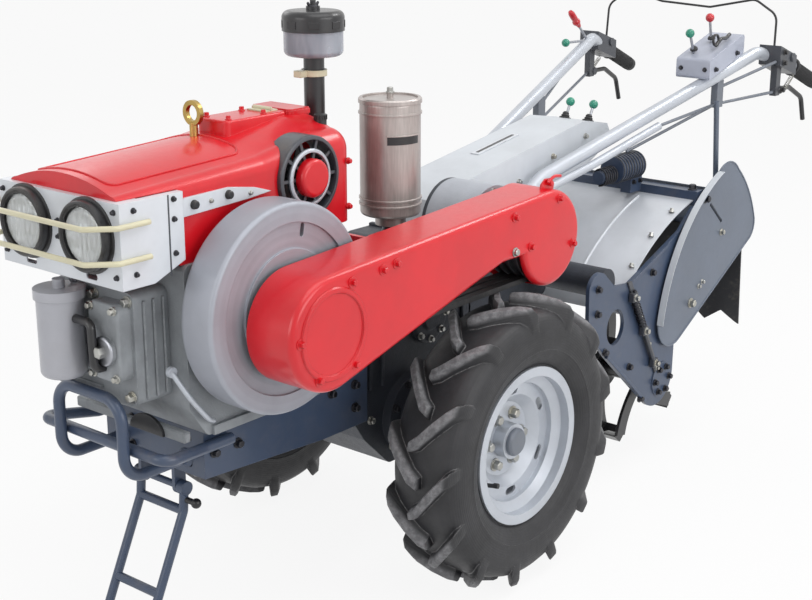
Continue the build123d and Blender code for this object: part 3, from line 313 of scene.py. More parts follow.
def lens_glass(name):
    """Clear fluted lamp glass."""
    finish = Finish(name, Transmission_Weight=0.72, IOR=1.45, Base_Color=(0.95, 0.97, 0.97, 1))
    flutes = finish.node("ShaderNodeTexWave", {"wave_type": "BANDS", "bands_direction": "Y"},
                         {"Vector": finish.where, "Scale": 24.0, "Distortion": 0.0})
    smear = finish.noise(30, 4, 0.6)
    finish.gives(Roughness=(0.05 + 0.12 * smear.rise(0.45, 0.8)).held(),
                 Normal=finish.node("ShaderNodeBump", None,
                                    {"Height": flutes, "Distance": 0.0004, "Strength": 1.0}))
    return finish.material


def bowl_plastic(name):
    """Smoky clear plastic of the pre-cleaner bowl."""
    finish = Finish(name, Transmission_Weight=0.35, IOR=1.46)
    ring = finish.noise(24, 3, 0.5, stretch=(1, 1, 0.2))
    soft, edge_mask = finish.edges(0.002)
    base = finish.blend(ring.rise(0.3, 0.7), rgb(150, 156, 168), rgb(198, 204, 214))
    finish.gives(Base_Color=finish.blend((edge_mask * 0.5).held(), base, rgb(110, 116, 128)),
                 Roughness=(0.18 + 0.15 * ring).held(), Normal=soft)
    return finish.material


RED = enamel("red enamel", rgb(212, 11, 28), gloss=0.33, bare=(196, 120, 118), chips=0.3,
             dirt=0.05, coat=0.3)
NAVY = enamel("navy enamel", rgb(60, 74, 98), gloss=0.38, dirt=0.3, coat=0.2)
SILVER = enamel("silver enamel", rgb(190, 195, 203), gloss=0.36, bare=(120, 120, 122),
                dirt=0.15, metal=0.35, coat=0.25)
PALE_SILVER = enamel("pale silver enamel", rgb(216, 220, 226), gloss=0.38,
                     bare=(150, 150, 155), dirt=0.05, metal=0.1, coat=0.25)
CONSOLE_WHITE = enamel("console enamel", rgb(206, 211, 217), gloss=0.42, bare=(170, 170, 175),
                       chips=0.2, dirt=0.04, coat=0.2)
COVER_GREY = enamel("cover enamel", rgb(98, 107, 122), gloss=0.4, dirt=0.15, metal=0.15)
CAN_GREY = enamel("canister enamel", rgb(170, 171, 178), gloss=0.4, dirt=0.2, metal=0.2)
PANEL_GREY = enamel("panel enamel", rgb(174, 179, 194), gloss=0.4, dirt=0.1, metal=0.15)
GREY = enamel("grey enamel", rgb(112, 118, 128), gloss=0.42, dirt=0.25, metal=0.2)
DARK_GREY = enamel("dark grey enamel", rgb(70, 73, 80), gloss=0.45, dirt=0.3, metal=0.2)
BLACK = enamel("black enamel", rgb(30, 30, 33), gloss=0.36, dirt=0.2, bare=(96, 96, 98))
CREAM = enamel("cream enamel", rgb(214, 208, 178), gloss=0.4, dirt=0.2)
CAST_GREY = casting("grey casting", rgb(146, 150, 154))
CAST_DARK = casting("dark casting", rgb(58, 62, 70), gloss=0.5, oil=0.6)
GEARBOX_CAST = casting("gearbox casting", rgb(58, 62, 70), gloss=0.5, oil=0.6,
                       painted=pale_clutch_housing)
STEEL = bright_metal("machined steel", rgb(172, 174, 180), rough=0.34, streak=(1, 1, 1))
ZINC = bright_metal("zinc plated steel", rgb(182, 182, 178), rough=0.3, streak=(1, 1, 1),
                    tint=(170, 160, 130))
DARK_STEEL = bright_metal("blackened steel", rgb(74, 74, 78), rough=0.38, streak=(1, 1, 1))
CHROME = bright_metal("drawn silencer steel", rgb(186, 178, 174), rough=0.34,
                      tint=(148, 134, 130), metal=0.5)
BRASS = bright_metal("brass", rgb(188, 160, 96), rough=0.3, streak=(1, 1, 1),
                     tint=(120, 104, 66))
FLY_STEEL = turned_steel("turned flywheel steel", rgb(164, 167, 176), crank_x, crank_z, rough=0.5,
                         metal=0.35)
BELT_STEEL = turned_steel("turned pulley", rgb(120, 122, 128), crank_x, crank_z)
TREAD = tyre_rubber("tyre tread rubber")
RUBBER = moulded("black rubber", rgb(34, 34, 36), gloss=0.5, grain=0.0002, scale=420)
FLAP_RUBBER = moulded("mud flap rubber", rgb(36, 37, 41), gloss=0.45, grain=0.0004, scale=120,
                      dusty=0.3)
GREEN = moulded("green knob plastic", rgb(28, 138, 112), gloss=0.25, scale=300, dusty=0.04,
                coat=0.4)
RED_KNOB = moulded("red knob plastic", rgb(196, 28, 40), gloss=0.22, scale=300, dusty=0.03,
                   coat=0.5)
BLACK_PLASTIC = moulded("black plastic", rgb(26, 26, 28), gloss=0.32, dusty=0.08)
GLASS = lens_glass("fluted lamp glass")
BOWL = bowl_plastic("smoky bowl plastic")
REFLECTOR = bright_metal("lamp reflector", rgb(232, 234, 236), rough=0.07, streak=(1, 1, 1))
BULB = Finish("frosted bulb glass", Base_Color=(0.95, 0.96, 0.98, 1.0), Roughness=0.2,
              Coat_Weight=0.5)
BULB.gives(Base_Color=BULB.blend(BULB.noise(200), rgb(225, 228, 232), rgb(250, 250, 250)))
BULB = BULB.material


# ---- patterns ------------------------------------------------------------------------------
class Pattern(Net):
    """A Geometry Nodes tree with named sizes, pressed into a plain mesh."""

    kinds = {float: "NodeSocketFloat", int: "NodeSocketInt", tuple: "NodeSocketVector",
             "material": "NodeSocketMaterial"}

    def __init__(self, name, **sizes):
        super().__init__(bpy.data.node_groups.new(name, "GeometryNodeTree"))
        face = self.tree.interface
        face.new_socket("Geometry", in_out="INPUT", socket_type="NodeSocketGeometry")
        face.new_socket("Geometry", in_out="OUTPUT", socket_type="NodeSocketGeometry")
        for key, value in sizes.items():
            kind = self.kinds["material"] if value is None else self.kinds[type(value)]
            socket = face.new_socket(key.replace("_", " "), in_out="INPUT", socket_type=kind)
            if value is not None:
                socket.default_value = value
        self.entry = self.tree.nodes.new("NodeGroupInput")
        self.exit = self.tree.nodes.new("NodeGroupOutput")

    def given(self, name):
        return Value(self, self.entry.outputs[name])

    def ends(self, geometry):
        """Make the instances real, give them their finish and close the tree."""
        real = self.node("GeometryNodeRealizeInstances", None, {"Geometry": geometry})
        done = self.node("GeometryNodeSetMaterial", None,
                         {"Geometry": real, "Material": self.given("Finish")})
        self.tree.links.new(done.socket, self.exit.inputs[0])

    def on(self, obj, **sizes):
        """Put the tree on an object as a modifier, with these sizes."""
        modifier = obj.modifiers.new("pattern", "NODES")
        modifier.node_group = self.tree
        for item in self.tree.interface.items_tree:
            key = item.name.replace(" ", "_")
            if item.in_out == "INPUT" and key in sizes:
                modifier[item.identifier] = sizes[key]
        return modifier

    def pressed(self, mesh, **sizes):
        """The plain mesh that the tree makes of a mesh."""
        holder = bpy.data.objects.new("holder", mesh)
        bpy.context.scene.collection.objects.link(holder)
        self.on(holder, **sizes)
        graph = bpy.context.evaluated_depsgraph_get()
        plain = bpy.data.meshes.new_from_object(holder.evaluated_get(graph))
        bpy.data.objects.remove(holder)
        return plain


def bolt_pattern():
    """A bolt head on every point, turned to its facing and scaled by its size."""
    tree = Pattern("bolt heads", Sides=6, Head_Height=0.62, Washer=1.5, Seed=3, Finish=None)
    washer_t = 0.14
    head = tree.node("GeometryNodeMeshCylinder", None,
                     {"Vertices": tree.given("Sides"), "Radius": 0.56,
                      "Depth": tree.given("Head Height")})
    head = tree.node("GeometryNodeTransform", None,
                     {"Geometry": head, "Translation": tree.node(
                         "ShaderNodeCombineXYZ", None,
                         {"Z": tree.given("Head Height") * 0.5 + washer_t})})
    crown = tree.node("GeometryNodeMeshCone", None,
                      {"Vertices": tree.given("Sides"), "Radius Top": 0.44,
                       "Radius Bottom": 0.56, "Depth": 0.1})
    crown = tree.node("GeometryNodeTransform", None,
                      {"Geometry": crown, "Translation": tree.node(
                          "ShaderNodeCombineXYZ", None,
                          {"Z": tree.given("Head Height") + washer_t})})
    washer = tree.node("GeometryNodeMeshCylinder", None,
                       {"Vertices": 20, "Radius": tree.given("Washer") * 0.5,
                        "Depth": washer_t * 2})
    bolt = tree.node("GeometryNodeJoinGeometry")
    for part in (head, crown, washer):
        tree.tree.links.new(part.socket, bolt.socket.node.inputs[0])
    facing = tree.node("GeometryNodeInputNamedAttribute", {"data_type": "FLOAT_VECTOR"},
                       {"Name": "facing"})
    size = tree.node("GeometryNodeInputNamedAttribute", {"data_type": "FLOAT"},
                     {"Name": "size"})
    aimed = tree.node("FunctionNodeAlignRotationToVector", {"axis": "Z"}, {"Vector": facing})
    spin = tree.node("FunctionNodeRandomValue", {"data_type": "FLOAT"},
                     {"Max": tau, "Seed": tree.given("Seed")}, output=1)
    turn = tree.node("FunctionNodeAxisAngleToRotation", None,
                     {"Axis": (0.0, 0.0, 1.0), "Angle": spin})
    aimed = tree.node("FunctionNodeRotateRotation", {"rotation_space": "LOCAL"},
                      {"Rotation": aimed, "Rotate By": turn})
    placed = tree.node("GeometryNodeInstanceOnPoints", None,
                       {"Points": tree.given("Geometry"), "Instance": bolt,
                        "Rotation": aimed, "Scale": size})
    tree.ends(placed)
    return tree


def repeat_pattern():
    """Copies of a shape, each one further by a pitch and a turn about an axis."""
    tree = Pattern("repeated shape", Count=8, Pitch=(0.0, 0.0, 0.0), Axis=(0.0, 1.0, 0.0),
                   Turn=0.0, Centre=(0.0, 0.0, 0.0), Finish=None)
    points = tree.node("GeometryNodePoints", None, {"Count": tree.given("Count")})
    index = tree.node("GeometryNodeInputIndex")
    step = tree.node("ShaderNodeVectorMath", {"operation": "SCALE"},
                     {0: tree.given("Pitch"), "Scale": index})
    spot = tree.node("GeometryNodeSetPosition", None, {"Geometry": points, "Position": step})
    turn = tree.node("FunctionNodeAxisAngleToRotation", None,
                     {"Axis": tree.given("Axis"), "Angle": index * tree.given("Turn")})
    copies = tree.node("GeometryNodeInstanceOnPoints", None,
                       {"Points": spot, "Instance": tree.given("Geometry"),
                        "Rotation": turn})
    moved = tree.node("GeometryNodeTransform", None,
                      {"Geometry": copies, "Translation": tree.given("Centre")})
    tree.ends(moved)
    return tree


def spring_pattern():
    """A coil spring up the z axis, laid along a direction from its start."""
    tree = Pattern("coil spring", Turns=8.0, Radius=0.006, Wire=0.001, Length=0.05,
                   Start=(0.0, 0.0, 0.0), Direction=(0.0, 0.0, 1.0), Finish=None)
    coil = tree.node("GeometryNodeCurveSpiral", None,
                     {"Resolution": 14, "Rotations": tree.given("Turns"),
                      "Start Radius": tree.given("Radius"),
                      "End Radius": tree.given("Radius"), "Height": tree.given("Length")})
    wire = tree.node("GeometryNodeCurvePrimitiveCircle", None,
                     {"Resolution": 6, "Radius": tree.given("Wire")})
    body = tree.node("GeometryNodeCurveToMesh", None,
                     {"Curve": coil, "Profile Curve": wire, "Fill Caps": True})
    way = tree.node("FunctionNodeAlignRotationToVector", {"axis": "Z"},
                    {"Vector": tree.given("Direction")})
    laid = tree.node("GeometryNodeTransform", None,
                     {"Geometry": body, "Translation": tree.given("Start"),
                      "Rotation": way})
    tree.ends(laid)
    return tree


def smoothing_pattern():
    """Joins loose triangles and shades them smooth between sharp edges."""
    tree = Pattern("joined faces", Gap=0.00001, Sharp=radians(28))
    joined = tree.node("GeometryNodeMergeByDistance", None,
                       {"Geometry": tree.given("Geometry"), "Distance": tree.given("Gap")})
    bend = tree.node("GeometryNodeInputMeshEdgeAngle")
    smooth = tree.node("GeometryNodeSetShadeSmooth", {"domain": "FACE"},
                       {"Geometry": joined, "Shade Smooth": True})
    edged = tree.node("GeometryNodeSetShadeSmooth", {"domain": "EDGE"},
                      {"Geometry": smooth, "Shade Smooth": tree.node(
                          "FunctionNodeCompare", {"operation": "LESS_THAN"},
                          {0: bend, 1: tree.given("Sharp")})})
    tree.tree.links.new(edged.socket, tree.exit.inputs[0])
    return tree


BOLTS = bolt_pattern()
REPEAT = repeat_pattern()
SPRING = spring_pattern()
SMOOTH = smoothing_pattern()


# ---- shapes --------------------------------------------------------------------------------
def metres(x, y, z):
    return Vector((axle + x / 1000, y / 1000, z / 1000))


def rounded(points, bend):
    """The points of a path with its corners rounded off."""
    path = [Vector(points[0])]
    for before, corner, after in zip(points, points[1:], points[2:]):
        before, corner, after = Vector(before), Vector(corner), Vector(after)
        first, second = before - corner, after - corner
        reach = min(bend, first.length * 0.45, second.length * 0.45)
        start, end = corner + first.normalized() * reach, corner + second.normalized() * reach
        for i in range(7):
            t = i / 6
            path.append(start * (1 - t) ** 2 + corner * 2 * t * (1 - t) + end * t * t)
    path.append(Vector(points[-1]))
    return path


class Shape:
    """A mesh made of closed forms."""

    def __init__(self):
        self.form = bmesh.new()

    def ring(self, centre, across, up, radius, sides):
        return [self.form.verts.new(centre + radius * (across * cos(tau * i / sides)
                                                       + up * sin(tau * i / sides)))
                for i in range(sides)]

    def bridge(self, first, second):
        """Faces between two rings, either of which may be one point."""
        count = max(len(first), len(second))
        for i in range(count):
            j = (i + 1) % count
            corners = [first[i % len(first)], first[j % len(first)],
                       second[j % len(second)], second[i % len(second)]]
            kept = [v for n, v in enumerate(corners) if v not in corners[:n]]
            if len(kept) > 2:
                self.form.faces.new(kept)

    def turned(self, start, way, profile, sides=40, closed=False):
        """Lathe form: rows of distance along the way and radius. A closed one is a ring."""
        start, way = Vector(start), Vector(way).normalized()
        across = way.orthogonal().normalized()
        up = way.cross(across)
        rows = []
        for along, radius in profile:
            centre = start + way * along
            rows.append(self.ring(centre, across, up, radius, sides) if radius
                        else [self.form.verts.new(centre)])
        for first, second in zip(rows, rows[1:]):
            self.bridge(first, second)
        if closed:
            self.bridge(rows[-1], rows[0])
        else:
            for row in (rows[0], rows[-1]):
                if len(row) > 1:
                    self.form.faces.new(row)
        return self

    def bar(self, start, end, radius, end_radius=None, sides=20):
        way = Vector(end) - Vector(start)
        far = radius if end_radius is None else end_radius
        return self.turned(start, way, ((0, radius), (way.length, far)), sides)

    def pipe(self, points, radius, bend=20, sides=14, closed=False):
        """Round bar along a path; a closed one joins its end to its start."""
        path = rounded(points, bend) if bend else [Vector(p) for p in points]
        rows = []
        up = None
        for i, place in enumerate(path):
            way = (path[min(i + 1, len(path) - 1)] - path[max(i - 1, 0)]).normalized()
            up = way.orthogonal() if up is None else up - way * up.dot(way)
            up.normalize()
            rows.append(self.ring(place, way.cross(up), up, radius, sides))
        for first, second in zip(rows, rows[1:]):
            self.bridge(first, second)
        if closed:
            self.bridge(rows[-1], rows[0])
        else:
            self.form.faces.new(rows[0])
            self.form.faces.new(rows[-1])
        return self

    def plate(self, outline, axis, low, high):
        """Flat plate: its outline in the other two axes, between two places on this one."""
        place = {"x": lambda p, d: (d, p[0], p[1]), "y": lambda p, d: (p[0], d, p[1]),
                 "z": lambda p, d: (p[0], p[1], d)}[axis]
        rows = [[self.form.verts.new(place(p, d)) for p in outline] for d in (low, high)]
        self.bridge(*rows)
        for row in rows:
            self.form.faces.new(row)
        return self

    def block(self, low, high):
        return self.plate(((low[0], low[1]), (high[0], low[1]), (high[0], high[1]),
                           (low[0], high[1])), "z", low[2], high[2])

    def ball(self, centre, radius, squash=1.0, sides=20):
        rows = [(radius * squash * sin(radians(a)), radius * cos(radians(a)))
                for a in range(-75, 90, 15)]
        rows = [(-radius * squash, 0)] + rows + [(radius * squash, 0)]
        return self.turned(centre, (0, 0, 1), rows, sides)

    def mesh(self, name, soften=0.0, steps=2):
        """The finished mesh in metres, its edges softened by so many millimetres."""
        bmesh.ops.recalc_face_normals(self.form, faces=self.form.faces)
        if soften:
            sharp = [e for e in self.form.edges
                     if len(e.link_faces) == 2 and e.calc_face_angle() > radians(35)]
            bmesh.ops.bevel(self.form, geom=sharp, offset=soften, segments=steps,
                            affect="EDGES", clamp_overlap=True)
        bmesh.ops.triangulate(self.form, faces=[f for f in self.form.faces
                                                if len(f.verts) > 4])
        mesh = bpy.data.meshes.new(name)
        self.form.to_mesh(mesh)
        self.form.free()
        mesh.transform(Matrix.Translation((axle, 0, 0)) @ Matrix.Scale(0.001, 4))
        return mesh


def fitted(name, mesh, finish, body, instead=()):
    """Put a finished mesh on the machine as a piece that rides a body."""
    if not mesh.materials:
        mesh.materials.append(finish)
    mesh.materials[0] = finish
    mesh.shade_smooth()
    mesh.set_sharp_from_angle(angle=radians(32))
    obj = bpy.data.objects.new(name, mesh)
    bpy.context.scene.collection.objects.link(obj)
    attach(obj, body)
    if instead:
        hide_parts(*instead)
    return obj


FACES = {"+x": (1, 0, 0), "-x": (-1, 0, 0), "+y": (0, 1, 0), "-y": (0, -1, 0),
         "+z": (0, 0, 1), "-z": (0, 0, -1)}


def outward(s):
    """The way that the left side, 1, or the right side, -1, faces."""
    return "+y" if s > 0 else "-y"


def bolts(name, body, rows, finish=ZINC, slot="bright_steel", **sizes):
    """Bolt heads: rows of x, y, z, the way they face, and their size across flats."""
    mesh = bpy.data.meshes.new(name)
    mesh.from_pydata([metres(*row[:3]) for row in rows], [], [])
    ways = [FACES.get(row[3]) if isinstance(row[3], str) else row[3] for row in rows]
    mesh.attributes.new("facing", "FLOAT_VECTOR", "POINT").data.foreach_set(
        "vector", [part for way in ways for part in way])
    mesh.attributes.new("size", "FLOAT", "POINT").data.foreach_set(
        "value", [row[4] / 1000 for row in rows])
    return fitted(name, BOLTS.pressed(mesh, Finish=finish, **sizes), finish, body)


def circle_of(count, x, z, radius, y, facing, size, start=0.0):
    """Rows for bolts on a circle round an axis across the machine."""
    return [(x + radius * cos(tau * i / count + start), y,
             z + radius * sin(tau * i / count + start), facing, size) for i in range(count)]


def repeated(name, shape, finish, body, slot, centre=(0, 0, 0), soften=0.0, instead=(), **sizes):
    """Copies of a shape that was drawn round the machine's own origin."""
    mesh = shape.mesh(name, soften)
    mesh.transform(Matrix.Translation((-axle, 0, 0)))
    mesh = REPEAT.pressed(mesh, Centre=tuple(metres(*centre)), Finish=finish, **sizes)
    return fitted(name, mesh, finish, body, instead)


def spring(name, start, end, radius, wire, turns, body, finish=ZINC):
    """Coil spring between two places."""
    start, end = metres(*start), metres(*end)
    way = end - start
    mesh = SPRING.pressed(bpy.data.meshes.new(name), Turns=float(turns), Radius=radius / 1000,
                          Wire=wire / 1000, Length=way.length, Start=tuple(start),
                          Direction=tuple(way), Finish=finish)
    return fitted(name, mesh, finish, body)


def part(name, shape, finish, body, slot, soften=0.0, instead=()):
    return fitted(name, shape.mesh(name, soften), finish, body, instead)


# ---- finishes on the CAD pieces ------------------------------------------------------------
slot_finish = {
    "red_paint": RED, "navy_paint": NAVY, "silver_paint": SILVER, "grey_paint": GREY,
    "black_paint": BLACK, "cream_paint": CREAM, "cast_grey": CAST_GREY,
    "cast_dark": CAST_DARK, "machined_steel": STEEL, "bright_steel": CHROME, "brass": BRASS,
    "tyre_rubber": TREAD, "rubber": RUBBER, "clear_plastic": BOWL, "lamp_glass": GLASS,
    "reflector": REFLECTOR, "green_plastic": GREEN, "red_plastic": RED_KNOB,
}
own_finish = {
    "flywheel": FLY_STEEL, "crank_pulley": BELT_STEEL, "clutch_pulley": BELT_STEEL,
    "gear_console": CONSOLE_WHITE, "handlebar_left": SILVER,
    "handlebar_right": SILVER, "fan_grille": DARK_GREY, "lever_brackets": DARK_GREY,
    "relay_rods": GREY, "exhaust_pipe": DARK_STEEL, "rear_cover": COVER_GREY,
    "control_panel": PANEL_GREY, "hub_left": SILVER, "hub_right": SILVER,
    "rotary_hood": PALE_SILVER, "filter_canister": CAN_GREY, "lamp_housing": PALE_SILVER,
    "steering_clutch_levers": BLACK, "gearbox": GEARBOX_CAST,
    "hood_trim": PALE_SILVER,
}
for name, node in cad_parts.items():
    for place in node.material_slots:
        finish = own_finish.get(name) or slot_finish[place.material.name.split(".")[0]]
        place.material = finish
    SMOOTH.on(node)

# ---- tyres ---------------------------------------------------------------------------------
LUGS = 13
half_section = ((57.6, 153), (58, 172), (66, 180), (73, 190), (77, 202), (78, 206), (79.3, 208),
                (78.6, 211), (79.6, 222), (80, 236), (79, 252), (74, 268), (64, 279), (48, 285),
                (24, 288.5), (0, 289.5))
lug_line = (  # across, top radius, across and radius of its foot, lead in degrees, half width
    (-12, 312, -12, 284, 0.0, 9), (6, 315, 6, 285, 2.2, 11), (30, 314, 29, 283, 7.6, 11.5),
    (54, 310.5, 52, 279, 13.0, 12), (70, 304, 64, 271, 16.4, 12.5),
    (78.5, 291, 70, 262, 18.0, 12.5), (80, 272, 74, 252, 18.8, 11), (80, 254, 76, 246, 19.2, 8))


def tyre(name, mid, body):
    """Tyre with two staggered rows of slanting lugs."""
    carcass = Shape()
    profile = half_section[:-1] + tuple((-y, r) for y, r in reversed(half_section))
    carcass.turned((0, mid, tyre_r), (0, 1, 0), profile, sides=120, closed=True)
    bead = carcass.mesh(name)
    lugs = []
    for s in (1, -1):
        lug = Shape()
        rows = []
        for y, top, foot_y, foot, lead, half in lug_line:
            row = []
            for side, wide in ((1, 1), (-1, 1)):
                corners = ((foot_y, foot, half + 6), (y * 0.86 + foot_y * 0.14,
                           top * 0.86 + foot * 0.14, half + 1.5), (y, top, half - 2))
                for across, reach, width in corners[::side]:
                    angle = radians(lead) + side * width / reach
                    row.append(lug.form.verts.new((reach * cos(angle), s * across,
                                                   reach * sin(angle))))
            rows.append(row)
        for first, second in zip(rows, rows[1:]):
            lug.bridge(first, second)
        lug.form.faces.new(rows[0])
        lug.form.faces.new(rows[-1])
        shape = lug.mesh("lug")
        shape.transform(Matrix.Translation((-axle, 0, 0)))
        shape.transform(Matrix.Rotation(pi / LUGS * (s > 0), 4, "Y"))
        lugs.append(REPEAT.pressed(shape, Count=LUGS, Turn=tau / LUGS,
                                   Centre=tuple(metres(0, mid, tyre_r)), Finish=TREAD))
    whole = bmesh.new()
    for mesh in (bead, *lugs):
        whole.from_mesh(mesh)
    whole.to_mesh(bead)
    whole.free()
    return fitted(name, bead, TREAD, body, (name.replace("_rubber", ""),))


for side, s in (("left", 1), ("right", -1)):
    body = f"wheel_{side}"
    mid = s * 355
    tyre(f"tyre_{side}_rubber", mid, body)
    face = outward(s)
    bolts(f"hub_nuts_{side}", body,
          circle_of(6, 0, tyre_r, 58, mid + s * -2, face, 19), finish=ZINC)
    cap = Shape()
    cap.turned((0, mid + s * 25, tyre_r), (0, s, 0), ((0, 30), (8, 30), (13, 25), (15, 0)))
    part(f"hub_cap_{side}", cap, GREY, body, "cast_dark", soften=1)
    valve = Shape()
    valve.bar((118, mid + s * 34, tyre_r - 56), (112, mid + s * 62, tyre_r - 53), 4.5)
    valve.bar((112, mid + s * 58, tyre_r - 53), (110.5, mid + s * 68, tyre_r - 52), 5.5)
    part(f"tyre_valve_{side}", valve, RUBBER, body, "rubber")
    bolts(f"axle_flange_bolts_{side}", "machine",
          circle_of(8, 0, tyre_r, 62, s * 250.5, face, 11, start=0.2)
          + circle_of(8, 0, tyre_r, 80, s * 117.5, face, 13, start=0.4),
          finish=DARK_STEEL, slot="machined_steel")

# ---- chassis, hoop and stand ---------------------------------------------------------------
bolts("chassis_bolts", "machine",
      [(x, s * 140.5, z, outward(s), 14) for s in (1, -1)
       for x, z in ((620, 425), (560, 425), (230, 450), (230, 400), (300, 450))]
      + [(645.5, y, z, "+x", 12) for y in (-62, 62) for z in (452, 398)], finish=DARK_STEEL,
      slot="machined_steel")
fillets = Shape()
for s in (1, -1):
    fillets.turned((645, s * 90, 410), (1, 0, 0), ((0, 19), (3, 15), (8, 11.5), (8, 9), (0, 9)),
                   sides=28, closed=True)
part("hoop_welds", fillets, NAVY, "machine", "navy_paint")

stand_parts = Shape()
stand_parts.bar((631, 62, 312), (631, 92, 312), 6)
stand_parts.ball((631, 96, 312), 10)
part("stand_peg", stand_parts, BLACK_PLASTIC, "front_stand", "black_paint")

# ---- engine --------------------------------------------------------------------------------
head = Shape()
for z in (566, 584, 740):
    head.block((768, -92, z), (774, 18, z + 5))
for x in (700, 722, 744):
    head.block((x, 112, 560), (x + 5, 117, 742))
head.plate(((-96, 556), (-96, 590), (-78, 590), (-70, 556)), "x", 768, 782)
head.turned((768, -60, 612), (1, 0, 0), ((0, 22), (10, 22), (14, 16), (14, 0)))
part("head_ribs", head, CAST_GREY, "machine", "cast_grey", soften=1)
bolts("head_bolts", "machine",
      [(798.3, 63 + y, 669 + z, "+x", 11) for y in (-31, 31) for z in (-62, 62)]
      + [(768.3, y, z, "+x", 15) for y, z in ((-84, 742), (-84, 640), (98, 742), (98, 566),
                                               (8, 600), (8, 742))]
      + [(804.3, 70, 655, "+x", 20)], finish=ZINC)
cover = Shape()
cover.turned((804, 70, 655), (1, 0, 0), ((0, 27), (3, 27), (5, 24), (5, 0)), sides=36)
part("head_plug", cover, STEEL, "machine", "bright_steel", soften=0.6)
pipes = Shape()
pipes.pipe(((775, -40, 750), (786, -40, 768), (770, -72, 776), (700, -96, 776),
            (690, -120, 740)), 3, bend=14, sides=10)
pipes.turned((768, -40, 742), (0.5, 0, 1), ((0, 8), (10, 8), (10, 5), (22, 5), (22, 0)), 20)
part("injector_pipe", pipes, STEEL, "machine", "bright_steel")
lever = Shape()
lever.pipe(((640, 164, 500), (662, 176, 512), (700, 172, 560), (722, 150, 612)), 5, bend=24)
lever.turned((722, 146, 612), (0, 1, 0), ((0, 10), (9, 10)), 20)
part("engine_side_rod", lever, SILVER, "machine", "silver_paint")

side_covers = Shape()
side_covers.turned((520, -150, 690), (0, -1, 0), ((0, 110), (10, 110), (14, 104), (14, 62),
                                                 (22, 58), (22, 0)), sides=56)
side_covers.block((352, -162, 500), (420, -150, 600))
side_covers.block((600, -164, 520), (672, -150, 640))
for x in (356, 376, 396):
    side_covers.block((x, -158, 620), (x + 6, -150, 770))
part("engine_side_covers", side_covers, CAST_GREY, "machine", "cast_grey", soften=1.5)
bolts("engine_cover_bolts", "machine",
      circle_of(10, 520, 690, 98, -163, "-y", 11)
      + [(x, -162.5, z, "-y", 10) for x in (360, 412) for z in (508, 592)]
      + [(x, -164.5, z, "-y", 10) for x in (608, 664) for z in (528, 632)], finish=ZINC)
foot = Shape()
foot.plate(((-150, 472), (-150, 492), (-40, 492), (-30, 484), (30, 484), (40, 492), (158, 492),
            (158, 472)), "x", 690, 706)
part("engine_front_foot", foot, CAST_GREY, "machine", "cast_grey", soften=2)
# Black plate in the sump opening: painted shade.
sump = Shape()
sump.plate([(46 * cos(pi * i / 12) + 60, 474 + 34 * sin(pi * i / 12)) for i in range(13)], "x",
           706, 712)
part("sump_opening", sump, BLACK, "machine", "black_paint")

# ---- flywheel and guard --------------------------------------------------------------------
# Black sheet over the flywheel's timing hole: painted shade in the hole.
hole_shade = Shape()
hole_shade.plate([(x, z) for x, z in ((480, 829), (489, 830), (485, 853), (476, 852))], "y", 236.1,
             236.6)
part("flywheel_pocket", hole_shade, BLACK, "flywheel", "black_paint")
bolts("guard_bolts", "machine",
      [(x, guard_face, z, "+y", 11) for x, z in ((620, 684), (576, 606), (482, 612), (487, 766),
                                             (404, 771), (366, 775), (-2, 794), (-60, 722),
                                             (-214, 700), (-160, 806))],
      finish=RED, slot="red_paint", Washer=1.9)
bolts("guard_screws", "machine", [(-4, guard_face, 722, "+y", 13)], finish=ZINC, Sides=20,
      Head_Height=0.4)
catch = Shape()
catch.plate(((-128, 816), (-176, 812), (-180, 832), (-170, 844), (-146, 846), (-132, 836)),
            "y", 338, 342)
catch.bar((-158, 338, 836), (-158, 352, 836), 6)
catch.pipe(((-146, 347, 838), (-168, 349, 850), (-192, 349, 846)), 3.4, bend=10)
part("guard_catch", catch, RED, "machine", "red_paint", soften=1)
guard_ring = Shape()
guard_ring.turned((535, 369.8, 681), (0, 1, 0), ((0, 86), (3.4, 83), (3.4, 77), (0, 73)),
                  sides=72, closed=True)
part("guard_ring", guard_ring, RED, "machine", "red_paint")

# ---- lamps ---------------------------------------------------------------------------------
bolts("lamp_housing_bolts", "machine",
      [(830.2, s * 152, z, "+x", 7) for s in (1, -1) for z in (808, 920)]
      + [(830.2, 0, z, "+x", 7) for z in (884, 856)]
      + [(x, s * 165.2, z, outward(s), 7) for s in (1, -1)
         for x, z in ((712, 925), (712, 890), (712, 830), (800, 810), (800, 920))],
      finish=DARK_STEEL, slot="machined_steel")
seams = Shape()
for s in (1, -1):
    seams.block((722, s * 165 - 0.6, 792), (725, s * 165 + 0.6, 934))
part("housing_seams", seams, DARK_GREY, "machine", "grey_paint")
lamp_parts = Shape()
bulbs = Shape()
for s in (1, -1):
    lamp_parts.turned((786, s * lamp_y, lamp_z), (1, 0, 0), ((0, 17), (10, 17), (12, 12), (22, 12),
                                                      (22, 0)), sides=28)
    bulbs.turned((806, s * lamp_y, lamp_z), (1, 0, 0), ((0, 6), (4, 8), (10, 8.5), (15, 5), (17, 0)),
                 sides=20)
part("lamp_sockets", lamp_parts, ZINC, "machine", "bright_steel")
part("lamp_bulbs", bulbs, BULB, "machine", "lamp_glass")
lips = Shape()
for s in (1, -1):
    lips.turned((846, s * lamp_y, lamp_z), (1, 0, 0), ((0, 62), (2.5, 60), (3, 57), (0, 54)), sides=56,
                closed=True)
    lips.turned((829, s * lamp_y, lamp_z), (1, 0, 0), ((0, 67), (4, 67), (5, 62), (0, 61)), sides=56,
                closed=True)
part("lamp_rim_lips", lips, BLACK, "machine", "black_paint")

